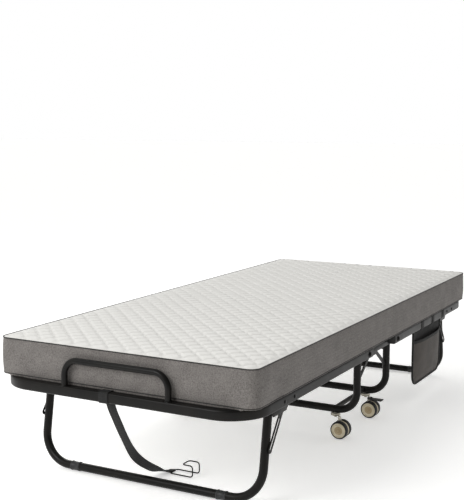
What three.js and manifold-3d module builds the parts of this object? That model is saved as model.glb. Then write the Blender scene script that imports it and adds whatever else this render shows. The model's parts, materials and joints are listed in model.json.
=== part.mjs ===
// Rollaway bed: a short carriage on four castors carries two half frames that fold up against each
// other, each with a fold-out leg hoop at its far end, and one mattress lies over the whole bed.
// Millimetres, +Z up. The origin is the point of the floor under the middle of the bed.
// +X runs to the head end and -X to the foot end. "Left" is +Y and "right" is -Y.
import * as THREE from 'three';
import { mergeVertices } from 'three/addons/utils/BufferGeometryUtils.js';
import Module from 'manifold-3d';

const wasm = await Module();
wasm.setup();

// ---- driving dimensions ----
const BED_LENGTH = 1900;
const BED_WIDTH = 850;
const MATTRESS_BOTTOM = 312;
const MATTRESS_TOP = 422.5;
const FIT = 0.3; // clearance between pieces that touch
const TURN_FIT = 0.6; // radial clearance between a pin and its hole

const HINGE_X = 137; // fold axis of each half frame, along Y
const HINGE_Z = 296;
const TUBE = 30; // square tube of the half frames
const TUBE_CENTRE_Y = BED_WIDTH / 2 - TUBE / 2;
const TUBE_INNER_Y = TUBE_CENTRE_Y - TUBE / 2;
const END_TUBE_X = BED_LENGTH / 2 + TUBE / 2;
const FRAME_CORNER_R = 105;

const LEG_PIVOT_X = 775;
const LEG_PIVOT_Z = 266;
const LEG_LEAN = THREE.MathUtils.degToRad(9.5); // outward from vertical
const LEG_TUBE_R = 12.5;
const LEG_Y = 374;
const PAD_AXIS_Z = 15; // height of the leg's bottom tube
const LEG_LENGTH = (LEG_PIVOT_Z - PAD_AXIS_Z) / Math.cos(LEG_LEAN);
const STRUT_PIVOT_X = 713;
const SLEEVE_Y = 252; // middle of each floor sleeve
const STRUT_Y = 389; // middle of the strut's thickness

const BASE_TUBE_R = 12.5;
const BASE_Y = 381.5; // uprights of the carriage hoops
const BASE_BOTTOM_Z = 97;
const CASTOR_Y = 306;
const WHEEL_R = 30;
const WHEEL_TRAIL = 20;

// ---- finishes ----
const finish = (color, roughness, metalness = 0) =>
  new THREE.MeshStandardMaterial({ color, roughness, metalness });
const POWDER_COAT = finish(0x2a2826, 0.42, 0.1);
const ZINC = finish(0xb4b0a8, 0.35, 0.9);
const KNIT = finish(0xe9e8e6, 0.9);
const CREAM_PLASTIC = finish(0xdcd4bf, 0.5);
const BLACK_PLASTIC = finish(0x1b1b1c, 0.55);
const WEBBING = finish(0x1d1c1c, 0.85);
const POCKET_CLOTH = finish(0x55504b, 0.9);

// ---- solids ----

/** A geometry with shared corner points and its faces pointing out. */
function closed(geometry) {
  const bare = geometry.clone();
  for (const name of Object.keys(bare.attributes)) if (name !== 'position') bare.deleteAttribute(name);
  const merged = mergeVertices(bare, 1e-4);
  const p = merged.attributes.position;
  const index = merged.index.array;
  const [a, b, c] = [new THREE.Vector3(), new THREE.Vector3(), new THREE.Vector3()];
  let volume = 0;
  for (let i = 0; i < index.length; i += 3) {
    [a, b, c].forEach((v, k) => v.fromBufferAttribute(p, index[i + k]));
    volume += a.dot(b.cross(c));
  }
  if (volume < 0) {
    for (let i = 0; i < index.length; i += 3) [index[i], index[i + 1]] = [index[i + 1], index[i]];
  }
  return merged;
}

/** A three.js geometry as a manifold solid. */
function solid(geometry) {
  const g = closed(geometry);
  return new wasm.Manifold(new wasm.Mesh({
    numProp: 3,
    vertProperties: new Float32Array(g.attributes.position.array),
    triVerts: new Uint32Array(g.index.array),
  }));
}

/** A manifold solid as a three.js geometry. */
function geometryOf(manifold) {
  const { vertProperties, triVerts, numProp } = manifold.getMesh();
  const g = new THREE.BufferGeometry();
  const points = new Float32Array((vertProperties.length / numProp) * 3);
  for (let i = 0; i < points.length / 3; i++) {
    for (let k = 0; k < 3; k++) points[3 * i + k] = vertProperties[numProp * i + k];
  }
  g.setAttribute('position', new THREE.BufferAttribute(points, 3));
  g.setIndex(new THREE.BufferAttribute(new Uint32Array(triVerts), 1));
  return g;
}

const join = (first, ...rest) => geometryOf(rest.reduce((m, g) => m.add(solid(g)), solid(first)));
const cut = (body, ...tools) => geometryOf(tools.reduce((m, g) => m.subtract(solid(g)), solid(body)));

const box = (x0, x1, y0, y1, z0, z1) =>
  new THREE.BoxGeometry(x1 - x0, y1 - y0, z1 - z0).translate((x0 + x1) / 2, (y0 + y1) / 2, (z0 + z1) / 2);

/** A rod between two values along one axis; centre is the other two coordinates, in order. */
function rod(axis, from, to, radius, centre, sides = 16) {
  const g = new THREE.CylinderGeometry(radius, radius, Math.abs(to - from), sides);
  const mid = (from + to) / 2;
  if (axis === 'x') return g.rotateZ(Math.PI / 2).translate(mid, centre[0], centre[1]);
  if (axis === 'y') return g.translate(centre[0], mid, centre[1]);
  return g.rotateX(Math.PI / 2).translate(centre[0], centre[1], mid);
}

/** An outline in X and Z, given as a Shape, made into a plate between two values of Y. */
function plateXZ(shape, y0, y1, curveSegments = 8) {
  const g = new THREE.ExtrudeGeometry(shape, { depth: y1 - y0, bevelEnabled: false, curveSegments });
  return g.rotateX(Math.PI / 2).translate(0, y1, 0);
}

function polygon(points) {
  return new THREE.Shape(points.map(([x, y]) => new THREE.Vector2(x, y)));
}

/** A slot with round ends, from (x0, 0) to (x1, 0), as a path or a shape. */
function slotOutline(Outline, x0, x1, radius) {
  const o = new Outline();
  o.absarc(x1, 0, radius, -Math.PI / 2, Math.PI / 2, false);
  o.absarc(x0, 0, radius, Math.PI / 2, (3 * Math.PI) / 2, false);
  return o;
}

/** A path of straight runs and round bends through corner points, with steps only in the bends. */
class BentPath extends THREE.Curve {
  constructor(corners, radius, bendSteps = 8) {
    super();
    const points = corners.map((p) => new THREE.Vector3(...p));
    const last = points.length - 1;
    const way = (i) => points[i + 1].clone().sub(points[i]).normalize();
    this.stations = [{ point: points[0], tangent: way(0) }];
    for (let i = 1; i < last; i++) {
      const [into, out] = [way(i - 1), way(i)];
      const turn = into.angleTo(out);
      const setback = radius * Math.tan(turn / 2);
      const start = points[i].clone().addScaledVector(into, -setback);
      const side = out.clone().addScaledVector(into, -out.dot(into)).normalize();
      for (let k = 0; k <= bendSteps; k++) {
        const a = (turn * k) / bendSteps;
        const point = start.clone().addScaledVector(into, radius * Math.sin(a))
          .addScaledVector(side, radius * (1 - Math.cos(a)));
        const tangent = into.clone().multiplyScalar(Math.cos(a)).addScaledVector(side, Math.sin(a));
        this.stations.push({ point, tangent });
      }
    }
    this.stations.push({ point: points[last], tangent: way(last - 1) });
  }

  get steps() { return this.stations.length - 1; }

  getPoint(t) { return this.stations[Math.round(t * this.steps)].point.clone(); }

  getPointAt(t) { return this.getPoint(t); }

  getTangentAt(t) { return this.stations[Math.round(t * this.steps)].tangent.clone(); }
}

const sweep = (section, path, steps = path.steps) =>
  new THREE.ExtrudeGeometry(section, { steps, extrudePath: path });

function roundSection(radius, sides = 12) {
  return polygon(Array.from({ length: sides }, (_, i) => {
    const a = (2 * Math.PI * (i + 0.5)) / sides;
    return [radius * Math.cos(a), radius * Math.sin(a)];
  }));
}

function squareSection(size, cornerR) {
  const corners = [];
  for (let quarter = 0; quarter < 4; quarter++) {
    for (let k = 0; k < 3; k++) {
      const a = (Math.PI / 2) * (quarter + k / 2);
      const centre = (Math.PI / 2) * (quarter + 0.5);
      const reach = (size / 2 - cornerR) * Math.SQRT2;
      const [x, y] = [reach * Math.cos(centre), reach * Math.sin(centre)];
      corners.push([x + cornerR * Math.cos(a), y + cornerR * Math.sin(a)]);
    }
  }
  return polygon(corners);
}

// ---- scene graph ----
const bed = new THREE.Group();

function add(name, geometry, material, parent = bed) {
  const mesh = new THREE.Mesh(closed(geometry), material);
  mesh.name = name;
  parent.add(mesh);
  return mesh;
}

// The two long sides of the bed, and its two halves, as name and sign.
const SIDES = [['left', 1], ['right', -1]];
const HALVES = [['foot', -1], ['head', 1]];

// ---- carriage ----
const RAIL_Y0 = 372;
const RAIL_Y1 = 392;
const RAIL_Z0 = 272;
const RAIL_Z1 = 306;
const RAIL_END_X = 160;
const CROSSBAR_Z = 262;

/** Hoop of the carriage at one fold axis: a U with a crossbar, bored for two castor stems. */
function baseHoop(x) {
  const top = RAIL_Z0 - FIT;
  const path = new BentPath([[x, -BASE_Y, top], [x, -BASE_Y, BASE_BOTTOM_Z], [x, BASE_Y, BASE_BOTTOM_Z],
    [x, BASE_Y, top]], 65);
  const hoop = join(sweep(roundSection(BASE_TUBE_R), path), rod('y', -BASE_Y, BASE_Y, 10, [x, CROSSBAR_Z], 12));
  const sockets = SIDES.map(([, side]) =>
    rod('z', BASE_BOTTOM_Z - 20, BASE_BOTTOM_Z + 7, 5 + TURN_FIT, [x, side * CASTOR_Y]));
  return cut(hoop, ...sockets);
}

/** Side rail that joins the two hoops, with a stud at each fold axis. */
function sideRail(side) {
  const studs = HALVES.map(([, end]) =>
    rod('y', side * (RAIL_Y1 - 2), side * (BED_WIDTH / 2 + 2), 6, [end * HINGE_X, HINGE_Z]));
  const [y0, y1] = [side * RAIL_Y0, side * RAIL_Y1].sort((a, b) => a - b);
  return join(box(-RAIL_END_X, RAIL_END_X, y0, y1, RAIL_Z0, RAIL_Z1), ...studs);
}

/** Flat bar bent to a V-brace between the hoops and the middle of the rail. */
function braceOutline() {
  const endX = HINGE_X - BASE_TUBE_R - FIT;
  const [topX, topZ, width] = [35, RAIL_Z0 - FIT, 14];
  const rise = topZ - width - 193;
  return polygon([[-endX, 193], [-endX, 193 + width * 1.25], [-topX, topZ], [topX, topZ],
    [endX, 193 + width * 1.25], [endX, 193], [topX - 3, 193 + rise], [3 - topX, 193 + rise]]);
}

function buildCarriage() {
  for (const [half, end] of HALVES) add(`${half}_base_hoop`, baseHoop(end * HINGE_X), POWDER_COAT);
  const barEnd = HINGE_X - BASE_TUBE_R - FIT;
  for (const [name, side] of SIDES) {
    add(`${name}_side_rail`, sideRail(side), POWDER_COAT);
    const y = side * BASE_Y;
    add(`${name}_v_brace`, plateXZ(braceOutline(), y - 2, y + 2), POWDER_COAT);
    add(`${name}_tie_bar`, rod('x', -barEnd, barEnd, 8, [side * 300, BASE_BOTTOM_Z], 12), POWDER_COAT);
  }
}

// ---- half frames, drawn with X outward from the middle and mirrored for the foot half ----
const HINGE_BAR_X = 177;
const CROSS_TUBE_X = 571;
const CENTRE_TUBE_Z = 284;
const CENTRE_TUBE_H = 26;
const CROSS_TUBE_R = 11;

/** Side and end tube of a half frame, bored for the fold studs. */
function frameTube() {
  const innerEnd = HINGE_X - 30;
  const path = new BentPath([[innerEnd, -TUBE_CENTRE_Y, HINGE_Z], [END_TUBE_X, -TUBE_CENTRE_Y, HINGE_Z],
    [END_TUBE_X, TUBE_CENTRE_Y, HINGE_Z], [innerEnd, TUBE_CENTRE_Y, HINGE_Z]], FRAME_CORNER_R);
  const bore = rod('y', -BED_WIDTH, BED_WIDTH, 6 + TURN_FIT, [HINGE_X, HINGE_Z], 24);
  return cut(sweep(squareSection(TUBE, 6), path), bore);
}

/** Longitudinal tube down the middle, bored so that the cross tube passes through it. */
function centreTube() {
  const from = HINGE_BAR_X + 12.5 + FIT;
  const to = END_TUBE_X - TUBE / 2 - FIT;
  const body = box(from, to, -15, 15, CENTRE_TUBE_Z - CENTRE_TUBE_H / 2, CENTRE_TUBE_Z + CENTRE_TUBE_H / 2);
  return cut(body, rod('y', -30, 30, CROSS_TUBE_R + FIT, [CROSS_TUBE_X, CENTRE_TUBE_Z]));
}

/** Welded mesh of the sleeping deck, drawn with every second wire of the real one. */
function wireMesh() {
  const [wire, pitchX, pitchY, z] = [4, 111, 123, 300.5];
  const [x0, x1] = [HINGE_BAR_X + 12.5 + 1, END_TUBE_X - TUBE / 2 - 4];
  const y1 = TUBE_INNER_Y - 4;
  const linesX = [];
  for (let x = x0; x < x1 - pitchX / 2; x += pitchX) linesX.push(x);
  linesX.push(x1 - wire);
  const linesY = [-y1];
  for (let k = -3; k <= 3; k++) linesY.push(k * pitchY - wire / 2);
  linesY.push(y1 - wire);
  const openings = [];
  for (let i = 0; i < linesX.length - 1; i++) {
    for (let j = 0; j < linesY.length - 1; j++) {
      openings.push(box(linesX[i] + wire, linesX[i + 1], linesY[j] + wire, linesY[j + 1], z - wire, z + wire));
    }
  }
  const cornerR = FRAME_CORNER_R - TUBE / 2;
  const outline = new THREE.Shape();
  outline.moveTo(x0, -y1);
  outline.absarc(x1 - cornerR, cornerR - y1, cornerR, -Math.PI / 2, 0, false);
  outline.absarc(x1 - cornerR, y1 - cornerR, cornerR, 0, Math.PI / 2, false);
  outline.lineTo(x0, y1);
  const sheet = new THREE.ExtrudeGeometry(outline, { depth: wire, bevelEnabled: false, curveSegments: 6 });
  return cut(sheet.translate(0, 0, z - wire / 2), ...openings);
}

/** Bent rod standing on the end tube, which keeps the mattress on the bed. */
function retainerHoop() {
  const [x, y, foot, top] = [968, 173, HINGE_Z + TUBE / 2 + FIT, 386];
  const path = new BentPath([[x, -y, foot], [x, -y, top], [x, y, top], [x, y, foot]], 45, 6);
  return sweep(roundSection(9, 10), path);
}

/** Half of the mattress, cut at 45 degrees towards the fold axis. */
function mattressHalf() {
  const low = MATTRESS_BOTTOM - HINGE_Z;
  const high = MATTRESS_TOP - HINGE_Z;
  const end = BED_LENGTH / 2;
  const shape = polygon([[HINGE_X + low, MATTRESS_BOTTOM], [end, MATTRESS_BOTTOM], [end, MATTRESS_TOP],
    [HINGE_X + high, MATTRESS_TOP]]);
  return plateXZ(shape, -BED_WIDTH / 2, BED_WIDTH / 2);
}

/** Middle of the mattress, which the fold squeezes together. */
function mattressCentre() {
  const low = HINGE_X + MATTRESS_BOTTOM - HINGE_Z - FIT * 2;
  const high = HINGE_X + MATTRESS_TOP - HINGE_Z - FIT * 2;
  const shape = polygon([[-low, MATTRESS_BOTTOM], [low, MATTRESS_BOTTOM],
    [high, MATTRESS_TOP], [-high, MATTRESS_TOP]]);
  return plateXZ(shape, -BED_WIDTH / 2, BED_WIDTH / 2);
}

// ---- folding legs ----
const STUD_R = 5;
const BRACKET_Y0 = 392;
const BRACKET_Y1 = TUBE_INNER_Y - FIT;
const STRUT_STUD_ON_LEG = 105; // from the leg's pivot, along the leg

/** A point on the leg, at a distance along it from its pivot. */
const onLeg = (r) => [LEG_PIVOT_X + r * Math.sin(LEG_LEAN), LEG_PIVOT_Z - r * Math.cos(LEG_LEAN)];

/** Leg hoop, bored across both uprights for its pivot studs. */
function legHoop() {
  const [topX, topZ] = onLeg(-13);
  const [lowX, lowZ] = onLeg(LEG_LENGTH);
  const path = new BentPath([[topX, -LEG_Y, topZ], [lowX, -LEG_Y, lowZ], [lowX, LEG_Y, lowZ],
    [topX, LEG_Y, topZ]], 92);
  return cut(sweep(roundSection(LEG_TUBE_R), path),
    rod('y', -BED_WIDTH, BED_WIDTH, STUD_R + TURN_FIT, [LEG_PIVOT_X, LEG_PIVOT_Z], 20));
}

/** Plate under the side tube with the studs that the leg and its strut turn on. */
function legBracket(side) {
  const [x0, x1, z0, z1] = [STRUT_PIVOT_X - 22, LEG_PIVOT_X + 20, LEG_PIVOT_Z - 16, HINGE_Z + 8];
  const shape = polygon([[x0, z1], [x0, LEG_PIVOT_Z - 4], [x0 + 12, z0],
    [x1 - 12, z0], [x1, LEG_PIVOT_Z - 4], [x1, z1]]);
  const [y0, y1] = [side * BRACKET_Y0, side * BRACKET_Y1].sort((a, b) => a - b);
  const legStud = rod('y', side * (BRACKET_Y0 + 1), side * (LEG_Y - LEG_TUBE_R - 2), STUD_R,
    [LEG_PIVOT_X, LEG_PIVOT_Z]);
  const strutStud = rod('y', side * (BRACKET_Y0 + 1), side * (STRUT_Y - 2), 4, [STRUT_PIVOT_X, LEG_PIVOT_Z]);
  return join(plateXZ(shape, y0, y1), legStud, strutStud);
}

/** Slotted strut, lying from its pivot on the bracket towards the stud on the leg. */
function strut(side) {
  const [studX, studZ] = onLeg(STRUT_STUD_ON_LEG);
  const reach = Math.hypot(studX - STRUT_PIVOT_X, studZ - LEG_PIVOT_Z);
  const shape = slotOutline(THREE.Shape, 0, reach + 3, 10);
  shape.holes.push(new THREE.Path().absarc(0, 0, 4 + TURN_FIT, 0, 2 * Math.PI, true));
  shape.holes.push(slotOutline(THREE.Path, 42, reach, 4.5));
  const g = plateXZ(shape, -1.5, 1.5, 6);
  g.rotateY(Math.atan2(LEG_PIVOT_Z - studZ, studX - STRUT_PIVOT_X));
  return g.translate(STRUT_PIVOT_X, side * STRUT_Y, LEG_PIVOT_Z);
}

/** Plastic sleeve round the leg's bottom tube, flat where it stands on the floor. */
function legSleeve(y) {
  const [x, z] = onLeg(LEG_LENGTH);
  const sleeve = rod('y', y - 16, y + 16, 16.5, [x, z], 20);
  const underFloor = box(x - 40, x + 40, y - 30, y + 30, -40, 0);
  return cut(sleeve, rod('y', y - 30, y + 30, LEG_TUBE_R + FIT, [x, z]), underFloor);
}

/** One half frame with its deck, mattress half and leg. */
function buildHalf(half, end) {
  const group = new THREE.Group();
  group.scale.x = end;
  bed.add(group);
  const put = (name, geometry, material) => add(`${half}_${name}`, geometry, material, group);
  put('frame_tube', frameTube(), POWDER_COAT);
  put('hinge_bar', box(HINGE_BAR_X - 12.5, HINGE_BAR_X + 12.5, FIT - TUBE_INNER_Y, TUBE_INNER_Y - FIT,
    HINGE_Z - 12.5, HINGE_Z + 12.5), POWDER_COAT);
  put('cross_tube', rod('y', FIT - TUBE_INNER_Y, TUBE_INNER_Y - FIT, CROSS_TUBE_R,
    [CROSS_TUBE_X, CENTRE_TUBE_Z]), POWDER_COAT);
  put('centre_tube', centreTube(), POWDER_COAT);
  put('wire_mesh', wireMesh(), POWDER_COAT);
  put('retainer_hoop', retainerHoop(), POWDER_COAT);
  put('mattress', mattressHalf(), KNIT);
  put('leg_hoop', legHoop(), POWDER_COAT);
  for (const [name, side] of SIDES) {
    put(`leg_bracket_${name}`, legBracket(side), POWDER_COAT);
    put(`leg_strut_${name}`, strut(side), POWDER_COAT);
    put(`leg_sleeve_${name}`, legSleeve(side * SLEEVE_Y), BLACK_PLASTIC);
  }
}

// ---- castors, drawn round their swivel axis with the wheels trailing to -Y ----
const AXLE_R = 4;
const WEB_HALF = 4; // half thickness of the fork's web between the two wheels
const LEVER_PIVOT = [-14, 68];

/** Stem, thrust flange and web that carries the axle. */
function castorFork() {
  const stem = rod('z', 70, BASE_BOTTOM_Z + 5, 5, [0, 0]);
  const flange = rod('z', 76, BASE_BOTTOM_Z - BASE_TUBE_R - FIT, 15, [0, 0]);
  const web = new THREE.Shape();
  web.moveTo(12, 78);
  web.absarc(-WHEEL_TRAIL, WHEEL_R, 9, -0.6, -Math.PI, true);
  web.absarc(LEVER_PIVOT[0], LEVER_PIVOT[1], 5, Math.PI, Math.PI / 2, true);
  web.lineTo(-10, 78);
  const plate = new THREE.ExtrudeGeometry(web, { depth: 2 * WEB_HALF, bevelEnabled: false, curveSegments: 8 });
  plate.applyMatrix4(new THREE.Matrix4().makeBasis(new THREE.Vector3(0, 1, 0), new THREE.Vector3(0, 0, 1),
    new THREE.Vector3(1, 0, 0)).setPosition(-WEB_HALF, 0, 0));
  return cut(join(plate, flange, stem), rod('x', -20, 20, AXLE_R + FIT, [-WHEEL_TRAIL, WHEEL_R]),
    rod('x', -20, 20, 2.9, LEVER_PIVOT, 12));
}

/** One wheel of a twin castor: a tyre with a recessed hub face outward, bored for the axle. */
function wheel(side) {
  const [inner, outer, bore] = [WEB_HALF + 1.5, WEB_HALF + 19.5, AXLE_R + TURN_FIT];
  const profile = [[bore, inner], [WHEEL_R - 3, inner], [WHEEL_R, inner + 3], [WHEEL_R, outer - 4],
    [WHEEL_R - 4, outer], [21, outer], [20, outer - 3], [bore, outer - 3], [bore, inner]];
  const g = new THREE.LatheGeometry(profile.map(([r, h]) => new THREE.Vector2(r, h)), 20);
  return g.rotateZ(-side * Math.PI / 2).translate(0, -WHEEL_TRAIL, WHEEL_R);
}

/** Foot brake lever: a tread plate with two cheeks and a pin through the fork. */
function brakeLever() {
  const [y, z] = LEVER_PIVOT;
  const tread = box(-13, 13, y - 50, y - 8.5, z - 4, z); // clears the web when pressed right down
  const cheeks = SIDES.map(([, side]) => {
    const [x0, x1] = [side * (WEB_HALF + 0.6), side * (WEB_HALF + 4)].sort((a, b) => a - b);
    return box(x0, x1, y - 10, y + 4, z - 4, z + 4);
  });
  return join(tread, ...cheeks, rod('x', -WEB_HALF - 3, WEB_HALF + 3, 2.5, LEVER_PIVOT, 12));
}

function buildCastor(half, end, sideName, side) {
  const group = new THREE.Group();
  group.position.set(end * HINGE_X, side * CASTOR_Y, 0);
  bed.add(group);
  const name = `castor_${half}_${sideName}`;
  add(`${name}_fork`, castorFork(), ZINC, group);
  const axleEnd = WEB_HALF + 18;
  add(`${name}_axle`, rod('x', -axleEnd, axleEnd, AXLE_R, [-WHEEL_TRAIL, WHEEL_R]), ZINC, group);
  add(`${name}_wheel_inner`, wheel(-end), CREAM_PLASTIC, group);
  add(`${name}_wheel_outer`, wheel(end), CREAM_PLASTIC, group);
  if (half === 'head') add(`${name}_brake_lever`, brakeLever(), BLACK_PLASTIC, group);
}

// ---- storage strap, its hook, and the side pocket ----
const STRAP_Y = 31.2; // middle of the strap where it hangs from the foot end tube, beside the centre tube
const STRAP_WIDTH = 31;
const STRAP_THICK = 3;
const smooth = THREE.MathUtils.smoothstep;

/** Stitched loop of webbing round the foot end tube, following the tube's rounded corners. */
function strapLoop() {
  const octagon = (side, flat) => [[flat, -side], [side, -flat], [side, flat], [flat, side],
    [-flat, side], [-side, flat], [-side, -flat], [-flat, -side]].map(([x, y]) => new THREE.Vector2(x, y));
  const tube = TUBE / 2 + FIT;
  const shape = new THREE.Shape(octagon(tube + 2.2, 12.4));
  shape.holes.push(new THREE.Path(octagon(tube, 11.6).reverse()));
  const loop = plateXZ(shape, STRAP_Y - STRAP_WIDTH / 2, STRAP_Y + STRAP_WIDTH / 2);
  return loop.translate(-END_TUBE_X, 0, HINGE_Z);
}

/** The strap's middle line, chosen by hand: down, over the leg's bottom tube, to the floor. */
const STRAP_ROUTE = [
  [-945.8, 31.2, 290], [-944.8, 31.2, 271], [-936.5, 29, 246], [-923, 25.2, 215.5], [-908.5, 21.8, 184],
  [-892, 19.4, 154], [-874, 18.2, 126.5], [-854.5, 17.5, 101], [-833, 16.8, 79.5], [-809, 15.8, 61],
  [-784, 14.2, 44.5], [-758, 11.8, 28.8], [-735, 8.4, 17], [-711, 2.6, 7.6],
];

/** Webbing along its route: it turns on edge halfway down, lies flat at its end, and narrows to the hook. */
function strap() {
  const curve = new THREE.CatmullRomCurve3(STRAP_ROUTE.map((p) => new THREE.Vector3(...p)));
  const steps = 45;
  const shape = polygon([[-1, -1], [1, -1], [1, 1], [-1, 1]]);
  const g = new THREE.ExtrudeGeometry(shape, { steps, depth: steps, bevelEnabled: false });
  const p = g.attributes.position;
  for (let i = 0; i < p.count; i++) {
    const t = Math.round(p.getZ(i)) / steps;
    const tangent = curve.getTangentAt(t);
    const level = new THREE.Vector3(-tangent.y, tangent.x, 0).normalize();
    const wide = new THREE.Vector3(0, 1, 0).lerp(level, smooth(t, 0.55, 1));
    wide.z -= 0.9 * smooth(t, 0.35, 0.6) * (1 - smooth(t, 0.75, 0.97));
    wide.addScaledVector(tangent, -wide.dot(tangent)).normalize();
    const half = (STRAP_WIDTH / 2) * (1 - 0.3 * smooth(t, 0.85, 1));
    const at = curve.getPointAt(t).addScaledVector(wide, p.getX(i) * half)
      .addScaledVector(tangent.clone().cross(wide), (p.getY(i) * STRAP_THICK) / 2);
    p.setXYZ(i, at.x, at.y, Math.max(at.z, 0.3));
  }
  return g;
}

/** Wire hook on the strap's end, lying on the floor: two wires that turn up and back to a round tip. */
function strapHook() {
  const [half, crossbar, elbow, back, tipY, z, rise] = [20, -12, -92, -71, -57, 2.5, 36];
  const at = (side, y, height) => [-690 + side * half, y, z + height];
  const path = new BentPath([at(-1, back, rise), at(-1, elbow, rise), at(-1, elbow, 0), at(-1, crossbar, 0),
    at(1, crossbar, 0), at(1, elbow, 0), at(1, elbow, rise), at(1, back, rise)], 9, 3);
  const tip = new BentPath([at(-1, back - 1, rise), at(-1, tipY, rise), at(1, tipY, rise),
    at(1, back - 1, rise)], 10, 3);
  return join(sweep(roundSection(2, 6), path), sweep(roundSection(2, 6), tip));
}

/** Cloth pocket that hangs from the right side tube of the head half, open at its top. */
function sidePocket() {
  const [x0, x1, z0, mouth, top] = [365, 695, 65, 235, HINGE_Z - TUBE / 2 - FIT];
  const [front, back, wall] = [-BED_WIDTH / 2 + 0.5, -397, 4];
  const backPanel = box(x0, x1, back - wall, back, z0, top);
  const pouch = box(x0 + 8, x1 - 8, front, back - wall + 1, z0 + 6, mouth);
  const cavity = box(x0 + 8 + wall, x1 - 8 - wall, front + wall, back - wall, z0 + 6 + wall, mouth + 20);
  return cut(join(backPanel, pouch), cavity);
}

buildCarriage();
add('mattress_centre', mattressCentre(), KNIT);
for (const [half, end] of HALVES) {
  buildHalf(half, end);
  for (const [sideName, side] of SIDES) buildCastor(half, end, sideName, side);
}
add('strap_loop', strapLoop(), WEBBING);
add('strap', strap(), WEBBING);
add('strap_hook', strapHook(), POWDER_COAT);
add('side_pocket', sidePocket(), POCKET_CLOTH);

export default bed;
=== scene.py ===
"""Looks of a rollaway bed: quilted mattress, powder-coated tubes, wire deck, castors, strap and pocket.

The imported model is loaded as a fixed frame. Each class below builds the visible meshes of one
sub-assembly at its place in that frame, dresses them in procedural finishes and names the body
that they ride on.
"""

from __future__ import annotations

import json
import logging
import math
from dataclasses import dataclass
from enum import Enum
from typing import Any, Iterable, Sequence

import bmesh
import bpy
from mathutils import Matrix, Vector, noise


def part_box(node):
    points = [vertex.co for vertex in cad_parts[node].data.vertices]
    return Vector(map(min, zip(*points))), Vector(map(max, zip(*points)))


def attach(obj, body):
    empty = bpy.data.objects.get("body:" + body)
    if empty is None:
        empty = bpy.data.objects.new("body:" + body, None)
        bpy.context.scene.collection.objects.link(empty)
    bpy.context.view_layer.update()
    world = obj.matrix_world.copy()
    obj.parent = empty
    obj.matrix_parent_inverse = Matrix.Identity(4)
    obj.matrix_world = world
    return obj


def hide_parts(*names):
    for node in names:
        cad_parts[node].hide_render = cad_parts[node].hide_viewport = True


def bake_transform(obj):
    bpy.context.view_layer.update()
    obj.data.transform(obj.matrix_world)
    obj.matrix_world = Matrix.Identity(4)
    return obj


LOG = logging.getLogger("rollaway_bed")
Colour = tuple[float, float, float, float]
Section = list[tuple[float, float]]


class Half(Enum):
    """The two half frames, with the sign of X on each one's side."""

    FOOT = -1
    HEAD = 1

    @property
    def label(self) -> str:
        """The half's name in node and body names."""
        return self.name.lower()


class Side(Enum):
    """The two long sides of the bed, with the sign of Y."""

    LEFT = 1
    RIGHT = -1

    @property
    def label(self) -> str:
        """The side's name in node and body names."""
        return self.name.lower()


# ---------------------------------------------------------------- materials


def srgb(code: str) -> Colour:
    """Turn an sRGB hex colour into the linear colour that a shader takes.

    Args:
        code: Six hex digits, such as "2a2826".

    Returns:
        Linear red, green, blue and an alpha of 1.
    """
    parts = [int(code[i : i + 2], 16) / 255 for i in (0, 2, 4)]
    linear = [c / 12.92 if c <= 0.04045 else ((c + 0.055) / 1.055) ** 2.4 for c in parts]
    return (linear[0], linear[1], linear[2], 1.0)


def add_node(
    tree: bpy.types.NodeTree,
    kind: str,
    settings: dict[str, Any] | None = None,
    links: dict[str | int, bpy.types.NodeSocket] | None = None,
) -> bpy.types.Node:
    """Add a shader node with its settings and its incoming links.

    Args:
        tree: The material's node tree.
        kind: The node's type name.
        settings: Values for input sockets, by socket name, or for the node's own properties.
        links: Output sockets to link, by the name or number of the input they go to.

    Returns:
        The new node.
    """
    node = tree.nodes.new(kind)
    for name, value in (settings or {}).items():
        if name in node.inputs:
            node.inputs[name].default_value = value
        else:
            setattr(node, name, value)
    for name, socket in (links or {}).items():
        tree.links.new(socket, node.inputs[name])
    return node


def colour_ramp(
    tree: bpy.types.NodeTree, factor: bpy.types.NodeSocket, stops: Sequence[tuple[float, str]]
) -> bpy.types.NodeSocket:
    """Map a factor to colours.

    Args:
        tree: The material's node tree.
        factor: The socket that drives the ramp.
        stops: Positions from 0 to 1 with their hex colours, in order.

    Returns:
        The colour output.
    """
    ramp = add_node(tree, "ShaderNodeValToRGB", links={"Fac": factor})
    elements = ramp.color_ramp.elements
    while len(elements) < len(stops):
        elements.new(0.5)
    for element, (position, code) in zip(elements, stops):
        element.position = position
        element.color = srgb(code)
    return ramp.outputs["Color"]


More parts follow.
